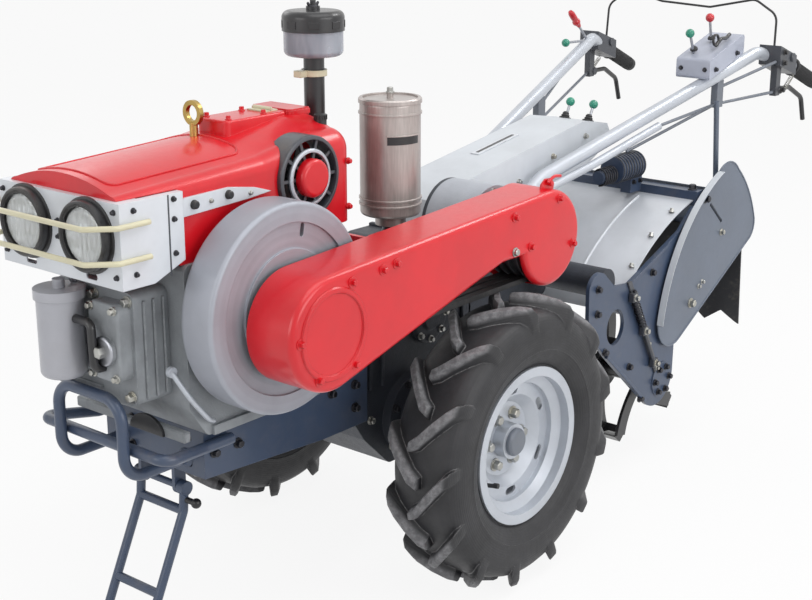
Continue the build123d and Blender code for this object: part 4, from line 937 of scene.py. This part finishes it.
# ---- hood ----------------------------------------------------------------------------------
bolts("trim_bolts", "machine", [(656, 154.2, 904, "+y", 13), (574, 154.2, 908, "+y", 13)],
      finish=BLACK, slot="black_paint", Sides=20, Head_Height=0.4, Washer=1.3)
bolts("trim_rivets", "machine", [(692, 154.2, 899, "+y", 6), (616, 154.2, 904, "+y", 6),
                                 (520, 154.2, 902, "+y", 6)], finish=ZINC, Sides=16)
cap_ribs = Shape()
cap_ribs.block((11.2, -1.1, 0), (13.4, 1.1, 9))
repeated("filler_cap_ribs", cap_ribs, BLACK, "machine", "black_paint", centre=(262, 88, 996),
         Count=16, Turn=tau / 16, Axis=(0.0, 0.0, 1.0))
tank_lid = Shape()
tank_lid.plate(((246, -64), (300, -64), (306, -56), (306, 40), (298, 48), (246, 48)), "z",
               1000, 1015)
part("tank_lid", tank_lid, RED, "machine", "red_paint", soften=3)
hinge = Shape()
hinge.block((314, -26, 1012), (350, 24, 1016))
hinge.bar((332, -26, 1018), (332, 24, 1018), 4)
part("lid_hinge", hinge, CREAM, "machine", "cream_paint", soften=1)
bolts("hood_screws", "machine",
      [(x, s * hood_face, z, outward(s), 9) for s in (1, -1)
       for x, z in ((460, 820), (252, 830), (252, 920))]
      + [(x, y, 1013.2, "+z", 9) for x in (360, 452) for y in (-30, 30)], finish=RED,
      slot="red_paint")

hood_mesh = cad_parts["hood"].data
hood_tree = BVHTree.FromPolygons([v.co for v in hood_mesh.vertices],
                                 [f.vertices for f in hood_mesh.polygons])


def hood_surface(x, y):
    """Height of the hood's skin at a place on its deck."""
    return hood_tree.ray_cast(metres(x, y, 1300), Vector((0, 0, -1)))[0].z * 1000


deck_edge = rounded([(x, y, 0) for x, y in ((796, 0), (796, -104), (500, -104), (486, -84),
                                            (486, 84), (500, 104), (796, 104), (796, 0))], 22)
deck_line = []
for start, end in zip(deck_edge, deck_edge[1:]):
    steps = max(1, round((end - start).length / 16))
    for i in range(steps):
        place = start.lerp(end, i / steps)
        deck_line.append((place.x, place.y, hood_surface(place.x, place.y) + 0.4))
deck_bead = Shape()
deck_bead.pipe(deck_line, 2.4, bend=0, sides=8, closed=True)
part("hood_deck_bead", deck_bead, RED, "machine", "red_paint")

# ---- fan -----------------------------------------------------------------------------------
shroud = Shape()
shroud.turned((fan_x, 156, fan_z), (0, 1, 0), ((0, 80), (2.5, 79), (4, 76), (4, 72), (0, 71)),
              sides=72, closed=True)
part("fan_shroud_rim", shroud, DARK_GREY, "machine", "grey_paint")
inner = Shape()
inner.turned((fan_x, 155, fan_z), (0, 1, 0), ((0, 55), (4, 55), (6, 52), (6, 48), (0, 47.5)),
             sides=64, closed=True)
part("fan_inner_ring", inner, SILVER, "machine", "silver_paint")

# ---- pre-cleaner, air pipe, silencer -------------------------------------------------------
clip = Shape()
clip.turned((air_pipe_x, 0, 1065), (0, 0, 1), ((0, 25.2), (0, 26.6), (13, 26.6), (13, 25.2)),
            sides=40, closed=True)
clip.block((206, -15, 1064.8), (229, 5, 1078))
part("air_pipe_clip", clip, CREAM, "machine", "cream_paint", soften=0.5)
louvre = Shape()
louvre.block((56, -11, 0), (63.4, 11, 14))
repeated("precleaner_louvres", louvre, BLACK, "machine", "black_paint", centre=(air_pipe_x, 0, 1162),
         Count=8, Turn=tau / 8, Axis=(0.0, 0.0, 1.0))
vane = Shape()
vane.plate(((12, 4), (54, 14), (54, 44), (12, 44)), "y", -1, 1)
repeated("precleaner_vanes", vane, BLACK_PLASTIC, "machine", "black_paint",
         centre=(air_pipe_x, 0, 1106), Count=6, Turn=tau / 6, Axis=(0.0, 0.0, 1.0))
wing = Shape()
for s in (1, -1):
    wing.plate(((air_pipe_x + s * 5, 1203), (air_pipe_x + s * 14, 1212), (air_pipe_x + s * 17, 1209),
                (air_pipe_x + s * 12, 1200), (air_pipe_x + s * 5, 1199)), "y", -2, 2)
wing.turned((air_pipe_x, 0, 1199), (0, 0, 1), ((0, 9), (6, 8), (6, 0)), 20)
part("precleaner_wing_nut", wing, DARK_STEEL, "machine", "machined_steel", soften=0.6)

silencer = Shape()
silencer.turned((silencer_x, silencer_y, 1008), (0, 0, 1), ((0, 63.2), (0, 65.6), (8, 65.6), (11, 63),
                                             (11, 57), (6, 57), (6, 61)), sides=72, closed=True)
part("silencer_lid_rim", silencer, CHROME, "machine", "bright_steel")


def silencer_band(inner, outer, low, high):
    """Part of a ring round the silencer, over its outlet."""
    turns = [radians(35 + 68 * i / 14) for i in range(15)]
    band = Shape()
    band.plate([(silencer_x + outer * cos(a), silencer_y + outer * sin(a)) for a in turns]
               + [(silencer_x + inner * cos(a), silencer_y + inner * sin(a)) for a in reversed(turns)],
               "z", low, high)
    return band


# The black band is painted shade in the outlet under its hood.
part("silencer_outlet", silencer_band(60, 63.5, 929, 946), BLACK, "machine", "black_paint")
part("silencer_outlet_hood", silencer_band(60, 67, 946, 948.5), CHROME, "machine",
     "bright_steel")
bolts("silencer_bolts", "machine", [(silencer_x, silencer_y, 1028, "+z", 12)]
      + [(silencer_x + 24 * cos(a), silencer_y + 24 * sin(a), 774, "-z", 9) for a in (0.6, 2.7, 4.8)],
      finish=ZINC)

# ---- console and controls ------------------------------------------------------------------
slope = (868 - 792) / 490
gate = Shape()
gate.plate(((-376, 0), (-540, 0), (-540, 2.4), (-376, 2.4)), "y", -30, -6)
# Black strip along the gate's slot: painted shade in the slot.
gate_slot = Shape()
gate_slot.plate(((-386, 2.2), (-530, 2.2), (-530, 3.0), (-386, 3.0)), "y", -22, -14)
for shape in (gate, gate_slot):
    for vert in shape.form.verts:
        vert.co.z += 792 + slope * (-200 - vert.co.x)
part("shift_gate", gate, PALE_SILVER, "machine", "silver_paint", soften=0.6)
part("shift_gate_slot", gate_slot, BLACK, "machine", "black_paint")
gaiters = Shape()
for s in (1, -1):
    gaiters.turned((-780, s * 35, 850), (-0.3, 0, 1), ((0, 15), (5, 15), (7, 10), (10, 11),
                                                      (13, 8), (16, 8.6), (20, 5), (20, 0)), 28)
part("gear_lever_gaiters", gaiters, RUBBER, "machine", "rubber")
bolts("console_bolts", "machine",
      [(x, s * 80.2, z, outward(s), 10) for s in (1, -1)
       for x, z in ((-150, 716), (-300, 716), (-420, 760), (-560, 800), (-700, 830))],
      finish=ZINC)

grip_way = Vector((-1530, 298, 892)) - Vector((-1372, 290, 957))
grip_way.normalize()
for side, s in (("left", 1), ("right", -1)):
    way = Vector((grip_way.x, s * grip_way.y, grip_way.z))
    end = Vector((-1530, s * 298, 892))
    band = Shape()
    band.turned((0, 0, 0), way, ((0, 18.8), (0, 20), (2.2, 20), (2.2, 18.8)), sides=32,
                closed=True)
    start = end - way * 140
    repeated(f"grip_rings_{side}", band, RUBBER, "machine", "rubber", centre=tuple(start),
             Count=17, Pitch=tuple(way * 0.0072))
    collar = Shape()
    start = end - way * 158
    collar.turned(start, way, ((0, 18), (0, 23), (6, 25), (9, 23), (9, 18)), sides=36,
                  closed=True)
    part(f"grip_collar_{side}", collar, RUBBER, "machine", "rubber")

levers = Shape()
for s in (1, -1):
    levers.turned((-1306, s * 282, 898), (0, s, 0), ((0, 11), (22, 11)), 24)
    levers.turned((-1340, s * 314, 982), (0, s, 0), ((-66, 12), (4, 12), (6, 9), (6, 0)), 24)
part("lever_bosses", levers, DARK_GREY, "machine", "grey_paint", soften=0.8)
bolts("lever_bolts", "machine",
      [(-1306, s * 304.3, 898, outward(s), 12) for s in (1, -1)]
      + [(-1290, s * 314.3, z, outward(s), 11) for s in (1, -1) for z in (1000, 972)],
      finish=BLACK, slot="black_paint")
for side, s in (("left", 1), ("right", -1)):
    spring(f"lever_spring_{side}", (-1312, s * 306, 894), (-1362, s * 306, 930), 5, 1.0, 11,
           "machine")

# ---- rotary --------------------------------------------------------------------------------
def arc_through(a, b, c, steps):
    """Points on the arc from a through b to c."""
    d = 2 * (a[0] * (b[1] - c[1]) + b[0] * (c[1] - a[1]) + c[0] * (a[1] - b[1]))
    x = ((a[0] ** 2 + a[1] ** 2) * (b[1] - c[1]) + (b[0] ** 2 + b[1] ** 2) * (c[1] - a[1])
         + (c[0] ** 2 + c[1] ** 2) * (a[1] - b[1])) / d
    z = ((a[0] ** 2 + a[1] ** 2) * (c[0] - b[0]) + (b[0] ** 2 + b[1] ** 2) * (a[0] - c[0])
         + (c[0] ** 2 + c[1] ** 2) * (b[0] - a[0])) / d
    r = hypot(a[0] - x, a[1] - z)
    first, mid, last = (atan2(p[1] - z, p[0] - x) for p in (a, b, c))
    mid = first + (mid - first) % tau
    last = first + (last - first) % tau
    if mid > last:
        last -= tau
    return [(x + r * cos(first + (last - first) * i / steps),
             z + r * sin(first + (last - first) * i / steps)) for i in range(steps + 1)]


rib = Shape()
rib.turned((0, 0, 0), (1, 0, 0), ((0, 33.5), (0, 36), (4, 36), (4, 33.5)), sides=48, closed=True)
repeated("drum_ribs", rib, DARK_GREY, "machine", "cast_dark", centre=(-882, 115, 737), Count=9,
         Pitch=(0.0125, 0.0, 0.0))
bolts("arm_bolts", "machine",
      circle_of(6, rotor_x, rotor_z, 34, 296.3, "+y", 12)
      + [(x, arm_face, z, "+y", 13) for x, z in ((-446, 530), (-446, 470), (-600, 490), (-486, 366),
                                              (-660, 200), (-600, 300), (-690, 520))],
      finish=DARK_STEEL, slot="machined_steel")
bolts("chain_case_bolts", "machine",
      circle_of(8, rotor_x, rotor_z, 54, -arm_face, "-y", 11)
      + circle_of(8, -500, 530, 42, -arm_face, "-y", 11),
      finish=DARK_STEEL, slot="machined_steel")
stays = Shape()
stays.plate(arc_through((-486, 352), (-590, 262), (-676, 186), 8)
            + arc_through((-682, 192), (-596, 268), (-492, 358), 8), "y", 292, 301)
stays.plate(((-584, 514), (-584, 506), (-760, 571), (-760, 579)), "y", 292, 297)
part("arm_ribs", stays, NAVY, "machine", "navy_paint", soften=0.8)
adjuster = Shape()
adjuster.plate(((-572, 520), (-590, 520), (-738, 262), (-722, 252)), "y", 292, 298)
adjuster.bar((-590, 304, 484), (-706, 304, 282), 5)
for x, z in ((-592, 480), (-648, 383), (-704, 286)):
    adjuster.block((x - 11, 296, z - 11), (x + 11, 309, z + 11))
part("depth_adjuster", adjuster, DARK_GREY, "machine", "grey_paint", soften=0.8)
spring("adjuster_spring", (-596, 304, 473), (-640, 304, 397), 9, 1.8, 9, "machine",
       finish=DARK_STEEL)
bolts("adjuster_bolts", "machine",
      [(x, 309.2, z, "+y", 12) for x, z in ((-592, 480), (-648, 383), (-704, 286))]
      + [(x, 298.2, z, "+y", 8) for x, z in ((-617, 452), (-634, 422), (-664, 370), (-681, 341),
                                             (-728, 264))], finish=ZINC)
hood_arc = arc_through((-580, 484), (-712, 592), (-893, 664), 14)
hood_beads = Shape()
for y in (-120, 140):
    hood_beads.pipe([(x, y, z) for x, z in hood_arc[:-1]], 4, bend=0, sides=10)
part("rotary_hood_beads", hood_beads, PALE_SILVER, "machine", "silver_paint")
bolts("rotary_hood_bolts", "machine",
      [(x, y, z + 3, (-0.35, 0, 1), 10) for x, z in (hood_arc[3], hood_arc[7], hood_arc[11])
       for y in (-236, 266)], finish=ZINC)
bolts("bar_bolts", "machine",
      [(hinge_x, y, 686.3, "+z", 16) for y in (-270, -90, 270)]
      + [(hinge_x, s * 307.3, hinge_z, outward(s), 16) for s in (1, -1)]
      + [(x, 130.2, 696, "+y", 9) for x in (-886, -856)],
      finish=DARK_STEEL, slot="machined_steel")
spring("drum_spring", (-776, 115, 727), (-716, 115, 727), 21, 2.2, 6, "machine",
       finish=DARK_STEEL)

# ---- rear cover and flap -------------------------------------------------------------------
front_edge = arc_through((-715, 379), (-808, 592), (-990, 725), 24)
cover_edge = (arc_through((-990, 725), (-1046, 742), (-1092, 716), 8)
              + arc_through((-1092, 716), (-1152, 656), (-1196, 578), 8)[1:]
              + arc_through((-1196, 578), (-1198, 534), (-1169, 508), 6)[1:]
              + arc_through((-826, 322), (-752, 320), (-715, 379), 8))
for side, s in (("left", 1), ("right", -1)):
    face = outward(s)
    rim = Shape()
    rim.pipe([(x, s * 303, z) for x, z in cover_edge], 2.2, bend=0, sides=8)
    part(f"cover_edge_{side}", rim, COVER_GREY, "rear_cover", "silver_paint")
    # White strip along the cover's front edge: a painted highlight.
    lip = Shape()
    lip.plate([(x + 0.9, z + 0.9) for x, z in front_edge]
              + [(x - 0.3, z - 0.3) for x, z in reversed(front_edge)], "y",
              *sorted((s * 299.8, s * 317.4)))
    part(f"cover_lip_{side}", lip, CONSOLE_WHITE, "rear_cover", "silver_paint")
    bolts(f"cover_bolts_{side}", "rear_cover",
          [(-1017, s * cover_face, 561, face, 12), (-873, s * cover_face, 402, face, 17),
           (-912, s * cover_face, 438, face, 9), (-930, s * cover_face, 446, face, 9)], finish=ZINC)
strap = Shape()
strap.block((-1169.5, -292, 506), (-1166.1, 292, 528))
part("flap_strap", strap, SILVER, "rear_cover", "silver_paint", soften=0.8)
bolts("flap_bolts", "rear_cover", [(-1169.7, y, 517, "-x", 12) for y in range(-260, 261, 104)],
      finish=ZINC)


def flap():
    """Rubber flap that hangs from the cover, its lower edge cut into points."""
    sheet = Shape()
    rows = []
    for layer in (0, 1):
        for i in range(17):
            drop = i / 16
            row = []
            for k in range(85):
                across = -292 + 584 * k / 84
                lean = -1162.4 + 4 * layer - 9 * drop ** 1.4
                wave = 7 * drop ** 2 * sin(across / 27 + 0.8 * sin(across / 61))
                point = abs((across / 97) % 1 - 0.5) * 2
                foot = 530 - 226 * drop - 34 * point * max(0, drop - 0.6) / 0.4
                row.append(sheet.form.verts.new((lean + wave, across, foot)))
            rows.append(row)
    front, back = rows[:17], rows[17:]
    for face in (front, back):
        for first, second in zip(face, face[1:]):
            for a, b, c, d in zip(first, first[1:], second[1:], second):
                sheet.form.faces.new((a, b, c, d))
    edge_front = front[0] + [r[-1] for r in front[1:]] + front[-1][-2::-1] + [
        r[0] for r in front[-2:0:-1]]
    edge_back = back[0] + [r[-1] for r in back[1:]] + back[-1][-2::-1] + [
        r[0] for r in back[-2:0:-1]]
    sheet.bridge(edge_front, edge_back)
    return sheet


part("rear_flap_rubber", flap(), FLAP_RUBBER, "rear_cover", "rubber", instead=("rear_flap",))

# ---- gearbox -------------------------------------------------------------------------------
ribs = Shape()
for s in (1, -1):
    low, high = sorted((s * 94, s * 103))
    for x in (-210, -160, 90, 130):
        ribs.block((x, low, 400), (x + 8, high, 560))
    ribs.plate(((-310, 470), (-310, 590), (-250, 620), (-180, 600), (-180, 480)), "y", low, high)
    ribs.turned((-60, s * 94, 520), (0, s, 0), ((0, 60), (10, 60), (13, 56), (13, 30), (20, 28),
                                             (20, 0)), sides=40)
ribs.block((150, -96, 420), (162, 96, 520))
ribs.block((-102, -98, 640), (-88, 98, 696))
part("gearbox_ribs", ribs, CAST_DARK, "machine", "cast_dark", soften=1.5)
bolts("gearbox_bolts", "machine",
      [row for s in (1, -1) for row in circle_of(8, -60, 520, 51, s * 107.3,
                                                 outward(s), 11)]
      + [(x, s * box_face, z, outward(s), 13) for s in (1, -1)
         for x, z in ((150, 520), (60, 610), (20, 650), (-130, 660), (-220, 660), (-325, 560),
                      (-325, 460), (-200, 300), (60, 250), (130, 330))]
      + [(-10, 0, 210.5, "-z", 22), (20, box_face, 300, "+y", 19)]
      + circle_of(6, clutch_x, clutch_z, 78, 215.3, "+y", 12, start=0.5), finish=ZINC)
linkage = Shape()
linkage.pipe(((60, 120, 560), (40, 150, 600), (-20, 168, 612), (-70, 172, 590)), 6, bend=20)
linkage.turned((60, 94, 560), (0, 1, 0), ((0, 16), (30, 16), (32, 12), (32, 0)), 24)
linkage.plate(((-84, 560), (-84, 604), (-58, 604), (-52, 560)), "y", 168, 176)
linkage.pipe(((-330, 100, 540), (-380, 112, 556), (-440, 116, 600)), 5, bend=14)
part("brake_linkage", linkage, STEEL, "machine", "machined_steel", soften=0.6)
bolts("linkage_bolts", "machine", [(60, 126.3, 560, "+y", 15), (-70, 176.3, 582, "+y", 12)],
      finish=ZINC)
breather = Shape()
breather.turned((-40, 60, 688), (0, 0, 1), ((0, 10), (8, 10), (8, 14), (18, 14), (21, 10),
                                           (21, 0)), 24)
part("gearbox_breather", breather, ZINC, "machine", "bright_steel")

# ---- handlebar clamps ----------------------------------------------------------------------
clamps = Shape()
for s in (1, -1):
    for x in (-205 - 40, -205 - 8):
        clamps.turned((x, s * 125, 650), (0, s, 0), ((0, 10), (4, 10)), 20)
part("handle_clamp_pads", clamps, DARK_GREY, "machine", "grey_paint", soften=0.5)
bolts("handle_bolts", "machine", [(x, s * 125.2, z, outward(s), 17)
                                  for s in (1, -1) for x in (-264, -232) for z in (634, 668)],
      finish=ZINC)

# ---- control panel -------------------------------------------------------------------------
catch_ring = Shape()
catch_ring.turned((-1072, 226, 1044), (0, 1, 0.1), ((-3, 12), (3, 12), (3, 16), (-3, 16)),
                  sides=36, closed=True)
catch_ring.pipe(((-1072, 226, 1030), (-1100, 226, 1046), (-1130, 224, 1044),
                 (-1152, 222, 1052)), 5, bend=10)
part("panel_hook", catch_ring, BLACK, "machine", "black_paint")
collars = Shape()
for x, y, z, way in ((-1048, 178, 1018, (0.42, 0, 0.9)), (-1119, 188, 1040, (0.2, 0, 1))):
    collars.turned((x, y, z), way, ((0, 10), (4, 10), (9, 6), (9, 0)), 24)
part("panel_gaiters", collars, RUBBER, "machine", "rubber")
bolts("panel_bolts", "machine", [(x, 246.2, z, "+y", 9) for x, z in ((-1040, 974), (-1150, 1006))]
      + [(-1009.7, y, 975, "+x", 8) for y in (164, 232)], finish=DARK_STEEL,
      slot="machined_steel")
handle = Shape()
handle.turned((-1165, -251, 1040), (0.72, -0.03, 0.69),
              ((0, 0), (0, 5), (10, 7.5), (40, 9.5), (56, 9), (64, 6), (66, 0)), sides=28)
part("clutch_handle_grip", handle, RED_KNOB, "machine", "red_plastic")

# ---- camera, lights and floor --------------------------------------------------------------
scene = bpy.context.scene
camera = bpy.data.objects.new("camera", bpy.data.cameras.new("camera"))
camera.location = (2.61838, 2.00401, 1.45952)
way = Vector((-0.73551, -0.61435, -0.28568))
camera.rotation_euler = way.to_track_quat("-Z", "Y").to_euler()
camera.data.sensor_width = 36
camera.data.lens = 63.81
scene.collection.objects.link(camera)
scene.camera = camera
scene.view_settings.view_transform = "Standard"


def lamp(name, place, target, size, power, colour=(1, 1, 1)):
    """Large soft lamp aimed at a place."""
    light = bpy.data.lights.new(name, "AREA")
    light.shape = "RECTANGLE"
    light.size, light.size_y = size
    light.energy = power
    light.color = colour
    obj = bpy.data.objects.new(name, light)
    obj.location = place
    obj.rotation_euler = (Vector(target) - Vector(place)).to_track_quat("-Z", "Y").to_euler()
    scene.collection.objects.link(obj)


lamp("top softbox", (0.6, 1.4, 4.0), (0, 0, 0.5), (3.2, 2.6), 50)
lamp("front softbox", (4.2, -0.4, 1.8), (0.4, 0, 0.6), (2.2, 1.6), 24)
lamp("left softbox", (0.2, 4.4, 2.0), (0, 0, 0.5), (3.4, 1.8), 60)
lamp("right softbox", (-0.6, -4.2, 3.2), (0, 0, 0.6), (3.0, 1.6), 18)
lamp("rear softbox", (-2.5, 1.35, 3.75), (0.6, 0.1, 0.9), (1.8, 0.8), 44)

world = bpy.data.worlds.new("studio")
scene.world = world
world.use_nodes = True
world.node_tree.nodes.clear()
room = Net(world.node_tree)


def seen_by(net):
    """1 for what the camera sees directly or in metal and glass."""
    return (net.node("ShaderNodeLightPath", output="Is Camera Ray")
            + net.node("ShaderNodeLightPath", output="Is Glossy Ray")
            + net.node("ShaderNodeLightPath", output="Is Transmission Ray")).held()


sky = room.node("ShaderNodeBackground", None,
                {"Color": (1, 1, 1, 1), "Strength": 0.52 + 0.48 * seen_by(room)})
out = room.tree.nodes.new("ShaderNodeOutputWorld")
room.tree.links.new(sky.socket, out.inputs[0])

floor_mesh = bpy.data.meshes.new("floor")
floor_mesh.from_pydata([(-30, -30, 0), (30, -30, 0), (30, 30, 0), (-30, 30, 0)], [],
                       [(0, 1, 2, 3)])
floor = bpy.data.objects.new("floor", floor_mesh)
scene.collection.objects.link(floor)
ground = Finish("pale floor", Roughness=0.9)
ground.gives(Base_Color=ground.blend(ground.noise(3), (0.80, 0.80, 0.80, 1),
                                     (0.83, 0.83, 0.83, 1)))
glow = ground.node("ShaderNodeEmission", None, {"Color": (1, 1, 1, 1), "Strength": 1.0})
mixed = ground.node("ShaderNodeMixShader", None,
                    {0: seen_by(ground) * 0.9, 1: Value(ground, ground.surface.outputs[0]),
                     2: glow})
ground.tree.links.new(mixed.socket, ground.tree.nodes["Material Output"].inputs[0])
floor_mesh.materials.append(ground.material)
